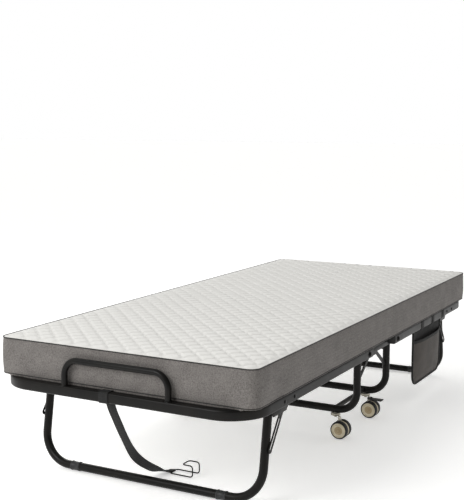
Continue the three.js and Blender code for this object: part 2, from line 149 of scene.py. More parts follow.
@dataclass(frozen=True)
class Finish:
    """A surface finish. Sizes are in metres, and colours are sRGB hex."""

    name: str
    base: str
    shade: str
    roughness: float
    metallic: float = 0.0
    sheen: float = 0.0
    coat: float = 0.0
    specular: float = 0.5
    grain: float = 0.002
    relief: float = 0.0002
    mottle: float = 0.05

    def begin(self) -> tuple[bpy.types.Material, bpy.types.NodeTree, bpy.types.Node, bpy.types.NodeSocket]:
        """Make an empty material with its shader.

        Returns:
            The material, its tree, its shader node and its object coordinates.
        """
        material = bpy.data.materials.new(self.name)
        material.use_nodes = True
        tree = material.node_tree
        tree.nodes.clear()
        shader = add_node(
            tree,
            "ShaderNodeBsdfPrincipled",
            {
                "Roughness": self.roughness,
                "Metallic": self.metallic,
                "Sheen Weight": self.sheen,
                "Coat Weight": self.coat,
                "Specular IOR Level": self.specular,
                "Coat Roughness": 0.25,
            },
        )
        add_node(tree, "ShaderNodeOutputMaterial", links={"Surface": shader.outputs["BSDF"]})
        place = add_node(tree, "ShaderNodeTexCoord").outputs["Object"]
        return material, tree, shader, place

    def noise_at(
        self, tree: bpy.types.NodeTree, place: bpy.types.NodeSocket, size: float, detail: float = 3.0
    ) -> bpy.types.NodeSocket:
        """Add noise whose features are about size metres wide.

        Args:
            tree: The material's node tree.
            place: The coordinates to read.
            size: The width of a feature.
            detail: Octaves of finer noise.

        Returns:
            The noise value.
        """
        node = add_node(tree, "ShaderNodeTexNoise", {"Scale": 1 / size, "Detail": detail}, {"Vector": place})
        return node.outputs["Fac"]

    def raise_relief(
        self, tree: bpy.types.NodeTree, shader: bpy.types.Node, height: bpy.types.NodeSocket
    ) -> None:
        """Link a height field to the shader's normal.

        Args:
            tree: The material's node tree.
            shader: The shader to bump.
            height: A field from 0 to 1.
        """
        bump = add_node(
            tree, "ShaderNodeBump", {"Strength": 1.0, "Distance": self.relief}, {"Height": height}
        )
        tree.links.new(bump.outputs["Normal"], shader.inputs["Normal"])

    def material(self) -> bpy.types.Material:
        """Build the finish: mottled colour, uneven gloss and a fine grain."""
        material, tree, shader, place = self.begin()
        mottle = self.noise_at(tree, place, self.mottle)
        colour = colour_ramp(tree, mottle, [(0.35, self.shade), (0.65, self.base)])
        tree.links.new(colour, shader.inputs["Base Color"])
        spread = add_node(
            tree,
            "ShaderNodeMapRange",
            {"To Min": max(self.roughness - 0.08, 0.05), "To Max": self.roughness + 0.1},
            {"Value": mottle},
        )
        tree.links.new(spread.outputs["Result"], shader.inputs["Roughness"])
        self.raise_relief(tree, shader, self.noise_at(tree, place, self.grain, 2.0))
        return material


@dataclass(frozen=True)
class QuiltedKnit(Finish):
    """Stretch knit quilted over wadding: matt and white, with painted shade down in the sewn channels."""

    middle: str = "dfdeda"
    stitch: float = 0.0032  # knit cell; real knit is finer, drawn as coarse as it needs to show

    def material(self) -> bpy.types.Material:
        """Build the knit, with painted shade from the vertex attribute that marks the sewn channels."""
        material, tree, shader, place = self.begin()
        # The channel attribute paints shade into the sewn channels; the blotch noise adds random tone.
        channel = add_node(tree, "ShaderNodeAttribute", {"attribute_name": "channel"}).outputs["Fac"]
        blotch = self.noise_at(tree, place, 0.012)
        uneven = add_node(
            tree, "ShaderNodeMath", {"operation": "MULTIPLY_ADD"}, {"Value": blotch}
        )
        uneven.inputs[1].default_value = 0.18
        tree.links.new(channel, uneven.inputs[2])
        colour = colour_ramp(
            tree, uneven.outputs["Value"], [(0.08, self.base), (0.5, self.middle), (1.0, self.shade)]
        )
        tree.links.new(colour, shader.inputs["Base Color"])
        cells = add_node(
            tree,
            "ShaderNodeTexVoronoi",
            {"Scale": 1 / self.stitch, "Randomness": 0.35},
            {"Vector": place},
        )
        self.raise_relief(tree, shader, cells.outputs["Distance"])
        return material


@dataclass(frozen=True)
class MelangeKnit(Finish):
    """Grey melange cloth of the border: light and dark yarns spun together, with a fine rib."""

    fleck: str = "807c78"

    def material(self) -> bpy.types.Material:
        """Build the cloth from two scales of speckle and a woven relief."""
        material, tree, shader, place = self.begin()
        fleck = self.noise_at(tree, place, 0.0035, 4.0)
        patch = self.noise_at(tree, place, self.mottle)
        mixed = add_node(tree, "ShaderNodeMath", {"operation": "MULTIPLY_ADD"}, {"Value": fleck})
        mixed.inputs[1].default_value = 0.75
        scaled = add_node(tree, "ShaderNodeMath", {"operation": "MULTIPLY"}, {"Value": patch})
        scaled.inputs[1].default_value = 0.25
        tree.links.new(scaled.outputs["Value"], mixed.inputs[2])
        colour = colour_ramp(
            tree, mixed.outputs["Value"], [(0.34, self.shade), (0.5, self.base), (0.68, self.fleck)]
        )
        tree.links.new(colour, shader.inputs["Base Color"])
        rib = add_node(
            tree,
            "ShaderNodeTexWave",
            {"Scale": 1 / (self.grain * 20), "Distortion": 3.0, "Detail": 2.0, "bands_direction": "Z"},
            {"Vector": place},
        )
        both = add_node(tree, "ShaderNodeMath", {"operation": "ADD"}, {"Value": fleck})
        tree.links.new(rib.outputs["Fac"], both.inputs[1])
        self.raise_relief(tree, shader, both.outputs["Value"])
        return material


@dataclass(frozen=True)
class WovenWebbing(Finish):
    """Polyester webbing: ribs across the strap, crossed by fine lengthwise yarns."""

    def material(self) -> bpy.types.Material:
        """Build the weave on the strap's own UV map, whose units are metres."""
        material, tree, shader, place = self.begin()
        uv = add_node(tree, "ShaderNodeUVMap", {"uv_map": "weave"}).outputs["UV"]
        ribs = add_node(
            tree,
            "ShaderNodeTexWave",
            {"Scale": 1 / (self.grain * 20), "Distortion": 0.6, "bands_direction": "Y"},
            {"Vector": uv},
        )
        yarns = add_node(
            tree,
            "ShaderNodeTexWave",
            {"Scale": 1 / (self.grain * 12), "Distortion": 0.4, "bands_direction": "X"},
            {"Vector": uv},
        )
        woven = add_node(tree, "ShaderNodeMath", {"operation": "MULTIPLY"}, {"Value": ribs.outputs["Fac"]})
        tree.links.new(yarns.outputs["Fac"], woven.inputs[1])
        colour = colour_ramp(tree, woven.outputs["Value"], [(0.1, self.shade), (0.8, self.base)])
        tree.links.new(colour, shader.inputs["Base Color"])
        self.raise_relief(tree, shader, woven.outputs["Value"])
        return material


class Finishes:
    """The bed's finishes, each made once."""

    def __init__(self) -> None:
        """Build every material."""
        # Satin powder coat on steel: nearly black, with soft broad highlights and slight orange peel.
        self.powder_coat = Finish(
            "satin_black_powder_coat", "14120f", "0c0b0a", 0.36, specular=0.18, grain=0.0022, relief=0.0001
        ).material()
        # Zinc-plated pressed steel: pale, warm and slightly cloudy.
        self.zinc = Finish(
            "zinc_plated_steel", "c9c4b8", "a39d90", 0.32, metallic=1.0, grain=0.003, relief=0.00008, mottle=0.012
        ).material()
        # Injection-moulded nylon in cream, with a faint moulded grain.
        self.nylon = Finish(
            "cream_moulded_nylon", "e0d6bd", "cfc4a8", 0.42, grain=0.0012, relief=0.00006, mottle=0.02
        ).material()
        # The same nylon made darker for the wheels' centre caps: painted shade on the middle of each wheel's face.
        self.cap = Finish(
            "tan_moulded_nylon", "b9a684", "a99672", 0.45, grain=0.0012, relief=0.00006, mottle=0.02
        ).material()
        # Soft polyurethane tread, black and matt.
        self.tread = Finish(
            "black_polyurethane_tread", "1a191a", "111011", 0.55, grain=0.0015, relief=0.0001, mottle=0.01
        ).material()
        # Moulded polypropylene of plugs, sleeves and levers.
        self.plastic = Finish(
            "black_moulded_polypropylene", "1f1f20", "171718", 0.48, grain=0.0014, relief=0.0001, mottle=0.015
        ).material()
        # White knit; its darkest colour is painted shade for the sewn channels.
        self.knit = QuiltedKnit(
            "white_quilted_stretch_knit", "ecebe7", "aaa9a3", 0.92, sheen=0.1, relief=0.0006
        ).material()
        self.border = MelangeKnit(
            "grey_melange_border_cloth", "6d6966", "55514e", 0.9, sheen=0.08, grain=0.0018, relief=0.0003
        ).material()
        # Bias-cut binding tape, folded over a cord: charcoal on the top seam, and on the bottom seam also painted shade
        # along the mattress's bottom edge.
        self.dark_piping = Finish(
            "charcoal_binding_tape", "34312f", "262422", 0.85, sheen=0.1, grain=0.0018, relief=0.0003
        ).material()
        self.webbing = WovenWebbing(
            "black_polyester_webbing", "141313", "070707", 0.8, sheen=0.02, grain=0.0016, relief=0.0004
        ).material()
        self.pocket_cloth = Finish(
            "taupe_polyester_cloth", "4c4641", "3e3935", 0.88, sheen=0.1, grain=0.0016, relief=0.0004
        ).material()
        self.pocket_trim = Finish(
            "black_polyester_cloth", "161515", "0e0e0e", 0.88, sheen=0.06, grain=0.0016, relief=0.0003
        ).material()


# ---------------------------------------------------------------- mesh helpers


def make_piece(
    name: str, mesh: bmesh.types.BMesh, materials: Iterable[bpy.types.Material], sharp_angle: float = 38.0
) -> bpy.types.Object:
    """Turn a bmesh into an object at the origin with smooth shading between its sharp edges.

    Args:
        name: The piece's name.
        mesh: The bmesh, which is freed.
        materials: The piece's materials, in slot order.
        sharp_angle: Edges that turn by more than this many degrees stay sharp.

    Returns:
        The new object.
    """
    bmesh.ops.recalc_face_normals(mesh, faces=mesh.faces)
    data = bpy.data.meshes.new(name)
    mesh.to_mesh(data)
    mesh.free()
    data.shade_smooth()
    data.set_sharp_from_angle(angle=math.radians(sharp_angle))
    for material in materials:
        data.materials.append(material)
    piece = bpy.data.objects.new(name, data)
    bpy.context.scene.collection.objects.link(piece)
    return piece


def install(piece: bpy.types.Object, body: str, slot: str, *nodes: str) -> bpy.types.Object:
    """Attach a piece to the body it rides on and hide the nodes it stands for.

    Args:
        piece: The finished piece.
        body: The body's name.
        slot: The record's material slot; not used.
        nodes: CAD nodes that the piece replaces.

    Returns:
        The piece.
    """
    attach(piece, body)
    if nodes:
        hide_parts(*nodes)
    LOG.info("%s rides on %s", piece.name, body)
    return piece


def eased(value: float, start: float, end: float) -> float:
    """Smooth step from 0 at start to 1 at end."""
    share = min(max((value - start) / (end - start), 0.0), 1.0)
    return share * share * (3 - 2 * share)


def round_section(radius: float, sides: int = 28) -> Section:
    """Points of a round tube's section.

    Args:
        radius: Outer radius.
        sides: Number of points.

    Returns:
        The points, in order.
    """
    turn = 2 * math.pi / sides
    return [(radius * math.cos(turn * i), radius * math.sin(turn * i)) for i in range(sides)]


def box_section(width: float, height: float, corner: float, steps: int = 4) -> Section:
    """Points of a rectangular section with round corners.

    Args:
        width: Size along the section's first axis.
        height: Size along its second axis.
        corner: Corner radius.
        steps: Steps in each corner.

    Returns:
        The points, in order.
    """
    points: Section = []
    for quarter, (sx, sy) in enumerate([(1, 1), (-1, 1), (-1, -1), (1, -1)]):
        cx = sx * (width / 2 - corner)
        cy = sy * (height / 2 - corner)
        for k in range(steps + 1):
            angle = math.pi / 2 * (quarter + k / steps)
            points.append((cx + corner * math.cos(angle), cy + corner * math.sin(angle)))
    return points


def frame_at(point: Vector, along: Vector, across: Vector) -> Matrix:
    """A section's placement: its first axis lies across, and its normal along the path.

    Args:
        point: The section's middle.
        along: The path's direction.
        across: The direction of the section's first axis.

    Returns:
        A rigid 4x4 matrix.
    """
    z = along.normalized()
    x = (across - z * across.dot(z)).normalized()
    y = z.cross(x)
    rotation = Matrix((x, y, z)).transposed()
    return Matrix.Translation(point) @ rotation.to_4x4()


def carried_frames(points: Sequence[Vector], ways: Sequence[Vector], across: Vector) -> list[Matrix]:
    """Placements along a path whose section doesn't twist about it.

    Args:
        points: The path's points.
        ways: The path's direction at each point.
        across: Direction of the section's first axis at the start.

    Returns:
        The placements, in order.
    """
    frames = []
    before = ways[0].normalized()
    for point, way in zip(points, ways):
        along = way.normalized()
        across = before.rotation_difference(along) @ across
        frames.append(frame_at(point, along, across))
        before = along
    return frames


def bent_frames(corners: Sequence[Vector], radius: float, across: Vector, steps: int = 12) -> list[Matrix]:
    """Placements along straight runs joined by round bends.

    Args:
        corners: The path's ends and the corners that its bends round off.
        radius: Bend radius of the middle line.
        across: Direction of the section's first axis at the start, square to the first bend's plane.
        steps: Steps in each bend.

    Returns:
        The placements, in order.
    """
    last = len(corners) - 1
    runs = [(corners[i + 1] - corners[i]).normalized() for i in range(last)]
    points, ways = [corners[0]], [runs[0]]
    for i in range(1, last):
        into, out = runs[i - 1], runs[i]
        turn = into.angle(out)
        start = corners[i] - into * radius * math.tan(turn / 2)
        side = (out - into * out.dot(into)).normalized()
        for k in range(steps + 1):
            angle = turn * k / steps
            points.append(start + into * radius * math.sin(angle) + side * radius * (1 - math.cos(angle)))
            ways.append(into * math.cos(angle) + side * math.sin(angle))
    points.append(corners[last])
    ways.append(runs[-1])
    return carried_frames(points, ways, across)


def sweep(mesh: bmesh.types.BMesh, section: Section, frames: Sequence[Matrix], weave: bool = False) -> None:
    """Extrude a closed section along placements and close both ends.

    Args:
        mesh: The bmesh to add to.
        section: The section's points.
        frames: The placements, in order.
        weave: Whether to write a UV map in metres, across and along.
    """
    ring = [mesh.verts.new(frames[0] @ Vector((x, y, 0))) for x, y in section]
    cap = mesh.faces.new(ring)
    edges = list(cap.edges)
    travelled = 0.0
    uv = mesh.loops.layers.uv.get("weave") or mesh.loops.layers.uv.new("weave") if weave else None
    for before, after in zip(frames, frames[1:]):
        grown = bmesh.ops.extrude_edge_only(mesh, edges=edges)["geom"]
        moved = [g for g in grown if isinstance(g, bmesh.types.BMVert)]
        new_faces = [g for g in grown if isinstance(g, bmesh.types.BMFace)]
        bmesh.ops.transform(mesh, matrix=after @ before.inverted(), verts=moved)
        moved_set = set(moved)
        step = (after.translation - before.translation).length
        if uv:
            undo = {True: after.inverted(), False: before.inverted()}
            for face in new_faces:
                for loop in face.loops:
                    ahead = loop.vert in moved_set
                    local = undo[ahead] @ loop.vert.co
                    loop[uv].uv = (local.x + local.y, travelled + (step if ahead else 0.0))
        travelled += step
        edges = [e for e in grown if isinstance(e, bmesh.types.BMEdge) and all(v in moved_set for v in e.verts)]
    bmesh.ops.edgeloop_fill(mesh, edges=edges)


def spin_profile(
    mesh: bmesh.types.BMesh, profile: Sequence[tuple[float, float]], placement: Matrix, steps: int = 48
) -> None:
    """Turn an open or closed profile, given as (radius, height), about the placement's Z axis.

    Args:
        mesh: The bmesh to add to.
        profile: The profile's points. A profile that starts and ends on the axis closes itself.
        placement: Where the axis goes.
        steps: Steps in the full turn.
    """
    closed = profile[0] == profile[-1]
    points = profile[:-1] if closed else profile
    verts = [mesh.verts.new((r, 0.0, h)) for r, h in points]
    pairs = list(zip(verts, verts[1:]))
    if closed:
        pairs.append((verts[-1], verts[0]))
    edges = [mesh.edges.new(pair) for pair in pairs]
    before = set(mesh.verts) - set(verts)
    bmesh.ops.spin(
        mesh, geom=verts + edges, cent=(0, 0, 0), axis=(0, 0, 1), angle=2 * math.pi, steps=steps, use_merge=True
    )
    made = [v for v in mesh.verts if v not in before]
    bmesh.ops.remove_doubles(mesh, verts=made, dist=1e-6)
    made = [v for v in mesh.verts if v not in before]
    bmesh.ops.transform(mesh, matrix=placement, verts=made)


def axis_placement(point: Sequence[float], direction: Sequence[float]) -> Matrix:
    """A placement at a point whose Z axis points along a direction."""
    turn = Vector((0, 0, 1)).rotation_difference(Vector(direction).normalized())
    return Matrix.Translation(Vector(point)) @ turn.to_matrix().to_4x4()


def extrude_outline(
    mesh: bmesh.types.BMesh, outline: Sequence[tuple[float, float]], thickness: float, placement: Matrix
) -> None:
    """Make a plate from an outline in the placement's XY plane, centred on it.

    Args:
        mesh: The bmesh to add to.
        outline: The outline's points.
        thickness: The plate's thickness.
        placement: Where the plate goes.
    """
    face = mesh.faces.new([mesh.verts.new(placement @ Vector((x, y, -thickness / 2))) for x, y in outline])
    grown = bmesh.ops.extrude_face_region(mesh, geom=[face], use_keep_orig=True)["geom"]
    moved = [g for g in grown if isinstance(g, bmesh.types.BMVert)]
    way = placement.to_3x3() @ Vector((0, 0, thickness))
    bmesh.ops.translate(mesh, verts=moved, vec=way)


def ease_edges(mesh: bmesh.types.BMesh, width: float, angle: float = 25.0, segments: int = 3) -> None:
    """Round every edge that turns by more than an angle.

    Args:
        mesh: The bmesh to bevel.
        width: How far the rounding reaches.
        angle: The least turn of an edge that is rounded, in degrees.
        segments: Steps across the rounding.
    """
    bmesh.ops.recalc_face_normals(mesh, faces=mesh.faces)
    limit = math.radians(angle)
    edges = [e for e in mesh.edges if e.is_manifold and e.calc_face_angle(0.0) > limit]
    bmesh.ops.bevel(
        mesh,
        geom=edges,
        offset=width,
        offset_type="OFFSET",
        segments=segments,
        profile=0.5,
        affect="EDGES",
        clamp_overlap=True,
        material=-1,
    )


def eased_copy(
    name: str, node: bpy.types.Object, material: bpy.types.Material, width: float
) -> bpy.types.Object:
    """Copy a CAD node's shape with its sharp edges rounded as on a real pressed or cut piece.

    Args:
        name: The new piece's name.
        node: The CAD node.
        material: The finish.
        width: Edge rounding.

    Returns:
        The new piece.
    """
    mesh = bmesh.new()
    mesh.from_mesh(node.data)
    mesh.transform(node.matrix_world)
    bmesh.ops.remove_doubles(mesh, verts=mesh.verts, dist=1e-5)
    bmesh.ops.dissolve_limit(mesh, angle_limit=math.radians(1), verts=mesh.verts, edges=mesh.edges)
    for layer in list(mesh.loops.layers.uv.values()):
        mesh.loops.layers.uv.remove(layer)
    ease_edges(mesh, width, angle=40.0, segments=2)
    return make_piece(name, mesh, [material], 30.0)


@dataclass(frozen=True)
class Extent:
    """A node's box at rest, read from the frame."""

    low: Vector
    high: Vector

    @classmethod
    def of(cls, node: str) -> Extent:
        """Read a node's box."""
        low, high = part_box(node)
        return cls(Vector(low), Vector(high))

    @property
    def middle(self) -> Vector:
        """The box's centre."""
        return (self.low + self.high) / 2

    @property
    def size(self) -> Vector:
        """The box's size."""
        return self.high - self.low

    def outer_x(self, half: Half) -> float:
        """The X of the face furthest from the bed's middle."""
        return self.high.x if half is Half.HEAD else self.low.x

    def inner_x(self, half: Half) -> float:
        """The X of the face nearest the bed's middle."""
        return self.low.x if half is Half.HEAD else self.high.x


# ---------------------------------------------------------------- mattress


@dataclass
class Mattress:
    """Foam core in a quilted cover, in two halves that bend at the fold axes and meet in the middle."""

    finishes: Finishes
    cell: float = 0.005
    corner: float = 0.03
    crown: float = 0.004
    seam_drop: float = 0.002
    quilt_depth: float = 0.0048
    pitch: float = 0.030
    wave: float = 0.060
    swing: float = 0.0125
    channel: float = 0.0042
    tuck: float = 0.0066
    side_rows: int = 12
    bulge: float = 0.003
    piping: float = 0.0019
    bend: tuple[float, float] = (0.015, 0.255)

    def build(self) -> None:
        """Make both halves with their piping, in place of the CAD mattress nodes."""
        for half in Half:
            extent = Extent.of(f"{half.label}_mattress")
            self.length = abs(extent.outer_x(half))
            self.half_width = extent.size.y / 2
            self.bottom = extent.low.z
            self.seam = extent.high.z - self.seam_drop
            piece = self.panel(half)
            nodes = [f"{half.label}_mattress"] + (["mattress_centre"] if half is Half.HEAD else [])
            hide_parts(*nodes)
            trims = [
                self.trim(half, "top_piping", self.seam, self.finishes.dark_piping),
                # The bottom piping's charcoal tape is also painted shade along the mattress's bottom edge.
                self.trim(half, "bottom_piping", self.bottom + 0.004, self.finishes.dark_piping),
            ]
            for part in [piece, *trims]:
                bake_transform(part)
                LOG.info("%s bends between carriage and %s_frame", part.name, half.label)

    def channel_distance(self, x: float, y: float) -> float:
        """Distance from a point to the nearest sewn channel.

        Args:
            x: Distance from the bed's middle, along it.
            y: Position across the bed.

        Returns:
            The distance, about square to the channel.
        """
        phase = 2 * math.pi * x / self.wave
        slope = self.swing * 2 * math.pi / self.wave * math.sin(phase)
        nearest = round(y / self.pitch)
        best = self.pitch
        for k in (nearest - 1, nearest, nearest + 1):
            way = 1 if k % 2 == 0 else -1
            line = k * self.pitch + way * self.swing * math.cos(phase)
            best = min(best, abs(y - line) / math.hypot(1, slope))
        return best

    def edge_distance(self, x: float, y: float) -> float:
        """Distance inward from the outer edge of the mattress, which its middle doesn't have."""
        across = self.half_width - abs(y)
        along = self.length - x
        if across < self.corner and along < self.corner:
            return self.corner - math.hypot(self.corner - across, self.corner - along)
        return min(across, along)

    def rounded_plan(self, x: float, y: float) -> tuple[float, float]:
        """Move a point of the square plan so that the plan's outer corners become round."""
        over_x = x - (self.length - self.corner)
        over_y = abs(y) - (self.half_width - self.corner)
        if over_x <= 0 or over_y <= 0:
            return x, y
        reach = max(over_x, over_y) / math.hypot(over_x, over_y)
        side = math.copysign(1, y)
        return self.length - self.corner + over_x * reach, side * (self.half_width - self.corner + over_y * reach)

    def panel(self, half: Half) -> bpy.types.Object:
        """Make one closed half: quilted top and base, joined by the border."""
        mesh = bmesh.new()
        marks = mesh.verts.layers.float.new("channel")
        columns = round(self.length / self.cell)
        rows = round(2 * self.half_width / self.cell)
        top = bmesh.ops.create_grid(mesh, x_segments=columns, y_segments=rows, size=0.5)["verts"]
        for vert in top:
            x = (vert.co.x + 0.5) * self.length
            y = vert.co.y * 2 * self.half_width
            x, y = self.rounded_plan(x, y)
            inward = self.edge_distance(x, y)
            gap = self.channel_distance(x, y)
            depth = math.exp(-((gap / self.channel) ** 2))
            rise = self.crown * (1 - (1 - min(inward / 0.07, 1)) ** 2.4)
            fade = min(max(inward / 0.02, 0), 1)
            ripple = 0.0012 * noise.noise(Vector((x * 9, y * 9, 0.3))) * fade
            puff = self.quilt_depth * (1 - depth) * fade
            vert.co = Vector((half.value * x, y, self.seam + rise + puff + ripple - self.quilt_depth * 0.3 * fade))
            # Weight of the painted shade in the sewn channels, weaker towards the edge.
            vert[marks] = depth * (0.35 + 0.65 * fade)
        base_geom = bmesh.ops.duplicate(mesh, geom=mesh.verts[:] + mesh.edges[:] + mesh.faces[:])["geom"]
        base = [g for g in base_geom if isinstance(g, bmesh.types.BMVert)]
        for vert in base:
            inside = min(max((self.half_width - 0.031 - abs(vert.co.y)) / 0.02, 0.0), 1.0)
            inside *= min(max((abs(vert.co.x) - 0.2) / 0.03, 0.0), 1.0)
            vert.co.z = self.bottom + 0.0012 * (1 - vert[marks]) - self.tuck * inside * inside * (3 - 2 * inside)
        rims = [e for e in mesh.edges if e.is_boundary]
        walls = bmesh.ops.bridge_loops(mesh, edges=rims)["edges"]
        low_verts = set(base)
        rungs = [e for e in walls if (e.verts[0] in low_verts) != (e.verts[1] in low_verts)]
        bmesh.ops.subdivide_edges(mesh, edges=rungs, cuts=self.side_rows, use_grid_fill=True)
        self.shape_border(mesh, set(top) | low_verts, marks)
        mesh.normal_update()
        bmesh.ops.recalc_face_normals(mesh, faces=mesh.faces)
        for face in mesh.faces:
            face.material_index = 0 if abs(face.normal.z) > 0.5 else 1
        return make_piece(
            f"{half.label}_half_mattress", mesh, [self.finishes.knit, self.finishes.border], 60.0
        )

    def shape_border(self, mesh: bmesh.types.BMesh, panels: set, marks: Any) -> None:
        """Swell the border between its seams and pull it in a little at each seam.

        Args:
            mesh: The half mattress.
            panels: Vertices of the top and base panels, which stay.
            marks: The attribute that marks sewn channels and weights their painted shade.
        """
        height = self.seam - self.bottom
        for vert in mesh.verts:
            if vert in panels:
                continue
            # The border takes no painted channel shade.
            vert[marks] = 0.0
            x, y = abs(vert.co.x), vert.co.y
            level = min(max((vert.co.z - self.bottom) / height, 0.0), 1.0)
            over_x = max(x - (self.length - self.corner), 0)
            over_y = max(abs(y) - (self.half_width - self.corner), 0)
            out = Vector((math.copysign(over_x, vert.co.x), math.copysign(over_y, y), 0))
            if out.length > 1e-6:
                soft = 0.0009 * noise.noise(Vector((vert.co.x * 14, y * 14, vert.co.z * 22)))
                vert.co += out.normalized() * (self.bulge * math.sin(math.pi * level) ** 0.6 + soft)

    def trim(
        self, half: Half, name: str, height: float, material: bpy.types.Material
    ) -> bpy.types.Object:
        """Sweep piping round one half's outer edge, open at the bed's middle.

        Args:
            half: Which half.
            name: The trim's name.
            height: The seam's height.
            material: The finish.

        Returns:
            The piping.
        """
        outer = half.value * self.length
        corners = [
            Vector((0, -self.half_width, height)),
            Vector((outer, -self.half_width, height)),
            Vector((outer, self.half_width, height)),
            Vector((0, self.half_width, height)),
        ]
        frames = bent_frames(corners, self.corner, Vector((0, 0, 1)), 10)
        mesh = bmesh.new()
        sweep(mesh, round_section(self.piping, 10), self.with_fold_steps(frames))
        return make_piece(f"{half.label}_{name}", mesh, [material])

    def with_fold_steps(self, frames: list[Matrix]) -> list[Matrix]:
        """Add steps to the long runs of a trim, so that it bends smoothly where the bed folds."""
        steps = 24
        reach = 0.3 / self.length
        first = [frames[0].lerp(frames[1], reach * k / steps) for k in range(steps + 1)]
        last = [frames[-1].lerp(frames[-2], reach * k / steps) for k in range(steps, -1, -1)]
        return first + frames[1:-1] + last


# ---------------------------------------------------------------- half frames


@dataclass
class HalfFrame:
    """Bent side and end tube with its bars, wire deck, retainer hoop, brackets and plugs."""

    half: Half
    finishes: Finishes
    nodes: dict[str, bpy.types.Object]
    corner: float = 0.105
    tube_corner: float = 0.006
    wire: float = 0.002
    pitch_across: float = 0.0615
    pitch_along: float = 0.0555
    weld: float = 0.0022

    def __post_init__(self) -> None:
        """Read the frame tube's box."""
        self.name = self.half.label
        self.body = f"{self.name}_frame"
        self.extent = Extent.of(f"{self.name}_frame_tube")
        self.tube = self.extent.size.z
        self.side_y = self.extent.high.y - self.tube / 2
        self.axis_z = self.extent.middle.z

    def build(self) -> None:
        """Make every piece of the half frame."""
        self.frame_tube()
        self.end_plugs()
        self.bars()
        self.deck()
        self.retainer()
        self.brackets()

    def frame_tube(self) -> None:
        """Sweep the rounded square tube round the end of the bed."""
        inner = self.extent.inner_x(self.half)
        end = self.extent.outer_x(self.half) - self.half.value * self.tube / 2
        corners = [
            Vector((inner, -self.side_y, self.axis_z)),
            Vector((end, -self.side_y, self.axis_z)),
            Vector((end, self.side_y, self.axis_z)),
            Vector((inner, self.side_y, self.axis_z)),
        ]
        mesh = bmesh.new()
        frames = bent_frames(corners, self.corner, Vector((0, 0, 1)), 20)
        sweep(mesh, box_section(self.tube, self.tube, self.tube_corner), frames)
        piece = make_piece(f"{self.name}_side_and_end_tube", mesh, [self.finishes.powder_coat])
        install(piece, self.body, "powder_coat", f"{self.name}_frame_tube")

    def end_plugs(self) -> None:
        """Close the tube's two inner ends with moulded plugs."""
        inner = self.extent.inner_x(self.half)
        thickness = 0.003
        for side in Side:
            mesh = bmesh.new()
            placement = axis_placement(
                (inner - self.half.value * thickness / 2, side.value * self.side_y, self.axis_z), (1, 0, 0)
            )
            size = self.tube - 0.001
            extrude_outline(mesh, box_section(size, size, self.tube_corner), thickness, placement)
            ease_edges(mesh, 0.001, 40)
            piece = make_piece(f"{self.name}_tube_plug_{side.label}", mesh, [self.finishes.plastic])
            install(piece, self.body, "black_plastic")

    def bars(self) -> None:
        """Make the hinge bar and centre tube, and the cross tube with weld beads where it meets the frame."""
        for bar, width in (("hinge_bar", 0.003), ("centre_tube", 0.004)):
            node = f"{self.name}_{bar}"
            piece = eased_copy(f"{node}_eased", self.nodes[node], self.finishes.powder_coat, width)
            install(piece, self.body, "powder_coat", node)
        extent = Extent.of(f"{self.name}_cross_tube")
        middle = extent.middle
        mesh = bmesh.new()
        ends = [Vector((middle.x, y, middle.z)) for y in (extent.low.y, extent.high.y)]
        radius = extent.size.z / 2
        sweep(mesh, round_section(radius), [frame_at(p, Vector((0, 1, 0)), Vector((0, 0, 1))) for p in ends])
        for end, way in zip(ends, (1, -1)):
            self.bead(mesh, end + Vector((0, way * self.weld / 2, 0)), (0, 1, 0), radius)
        piece = make_piece(f"{self.name}_round_cross_tube", mesh, [self.finishes.powder_coat])
        install(piece, self.body, "powder_coat", f"{self.name}_cross_tube")

    def bead(
        self, mesh: bmesh.types.BMesh, point: Vector, direction: Sequence[float], radius: float
    ) -> None:
        """Add a weld bead round a tube.

        Args:
            mesh: The bmesh to add to.
            point: The bead's centre.
            direction: The tube's axis.
            radius: The tube's radius.
        """
        turn = 2 * math.pi / 8
        profile = [
            (radius + self.weld * math.cos(turn * i) * 0.9, self.weld * math.sin(turn * i)) for i in range(8)
        ]
        spin_profile(mesh, [*profile, profile[0]], axis_placement(point, direction), 36)

    def deck(self) -> None:
        """Lay the welded wires: one layer along the bed and one across it, each wire round."""
        extent = Extent.of(f"{self.name}_wire_mesh")
        inner, outer = sorted((abs(extent.low.x), abs(extent.high.x)))
        half_width = extent.size.y / 2
        z = extent.middle.z
        layer = self.wire * 0.85
        corner = self.corner - self.tube / 2
        mesh = bmesh.new()
        section = round_section(self.wire, 8)
        lines = int(half_width / self.pitch_across)
        for k in range(-lines, lines + 1):
            y = k * self.pitch_across
            self.wire_run(mesh, section, (inner, y, z + layer), (self.reach(y, outer, half_width, corner), y, z + layer))
        count = int((outer - inner) / self.pitch_along)
        for k in range(count + 1):
            x = inner + 0.006 + k * self.pitch_along
            reach = self.reach(x - (outer - half_width), half_width, half_width, corner) if x > outer - corner else half_width
            self.wire_run(mesh, section, (x, -reach, z - layer), (x, reach, z - layer))
        piece = make_piece(f"{self.name}_welded_wire_deck", mesh, [self.finishes.powder_coat])
        install(piece, self.body, "powder_coat", f"{self.name}_wire_mesh")

    @staticmethod
    def reach(offset: float, full: float, half_width: float, corner: float) -> float:
        """How far a wire runs before the frame's round corner stops it.

        Args:
            offset: The wire's distance from the middle of the run it crosses.
            full: How far it would run to the straight tube.
            half_width: Half the deck's width.
            corner: Inner radius of the corner.

        Returns:
            The wire's reach.
        """
        over = abs(offset) - (half_width - corner)
        if over <= 0:
            return full
        return full - corner + math.sqrt(max(corner**2 - over**2, 0))

    def wire_run(
        self,
        mesh: bmesh.types.BMesh,
        section: Section,
        start: tuple[float, float, float],
        end: tuple[float, float, float],
    ) -> None:
        """Sweep one straight wire, given with X outward from the bed's middle.

        Args:
            mesh: The bmesh to add to.
            section: The wire's section.
            start: One end.
            end: The other end.
        """
        a, b = (Vector((self.half.value * x, y, z)) for x, y, z in (start, end))
        sweep(mesh, section, [frame_at(p, b - a, Vector((0, 0, 1))) for p in (a, b)])

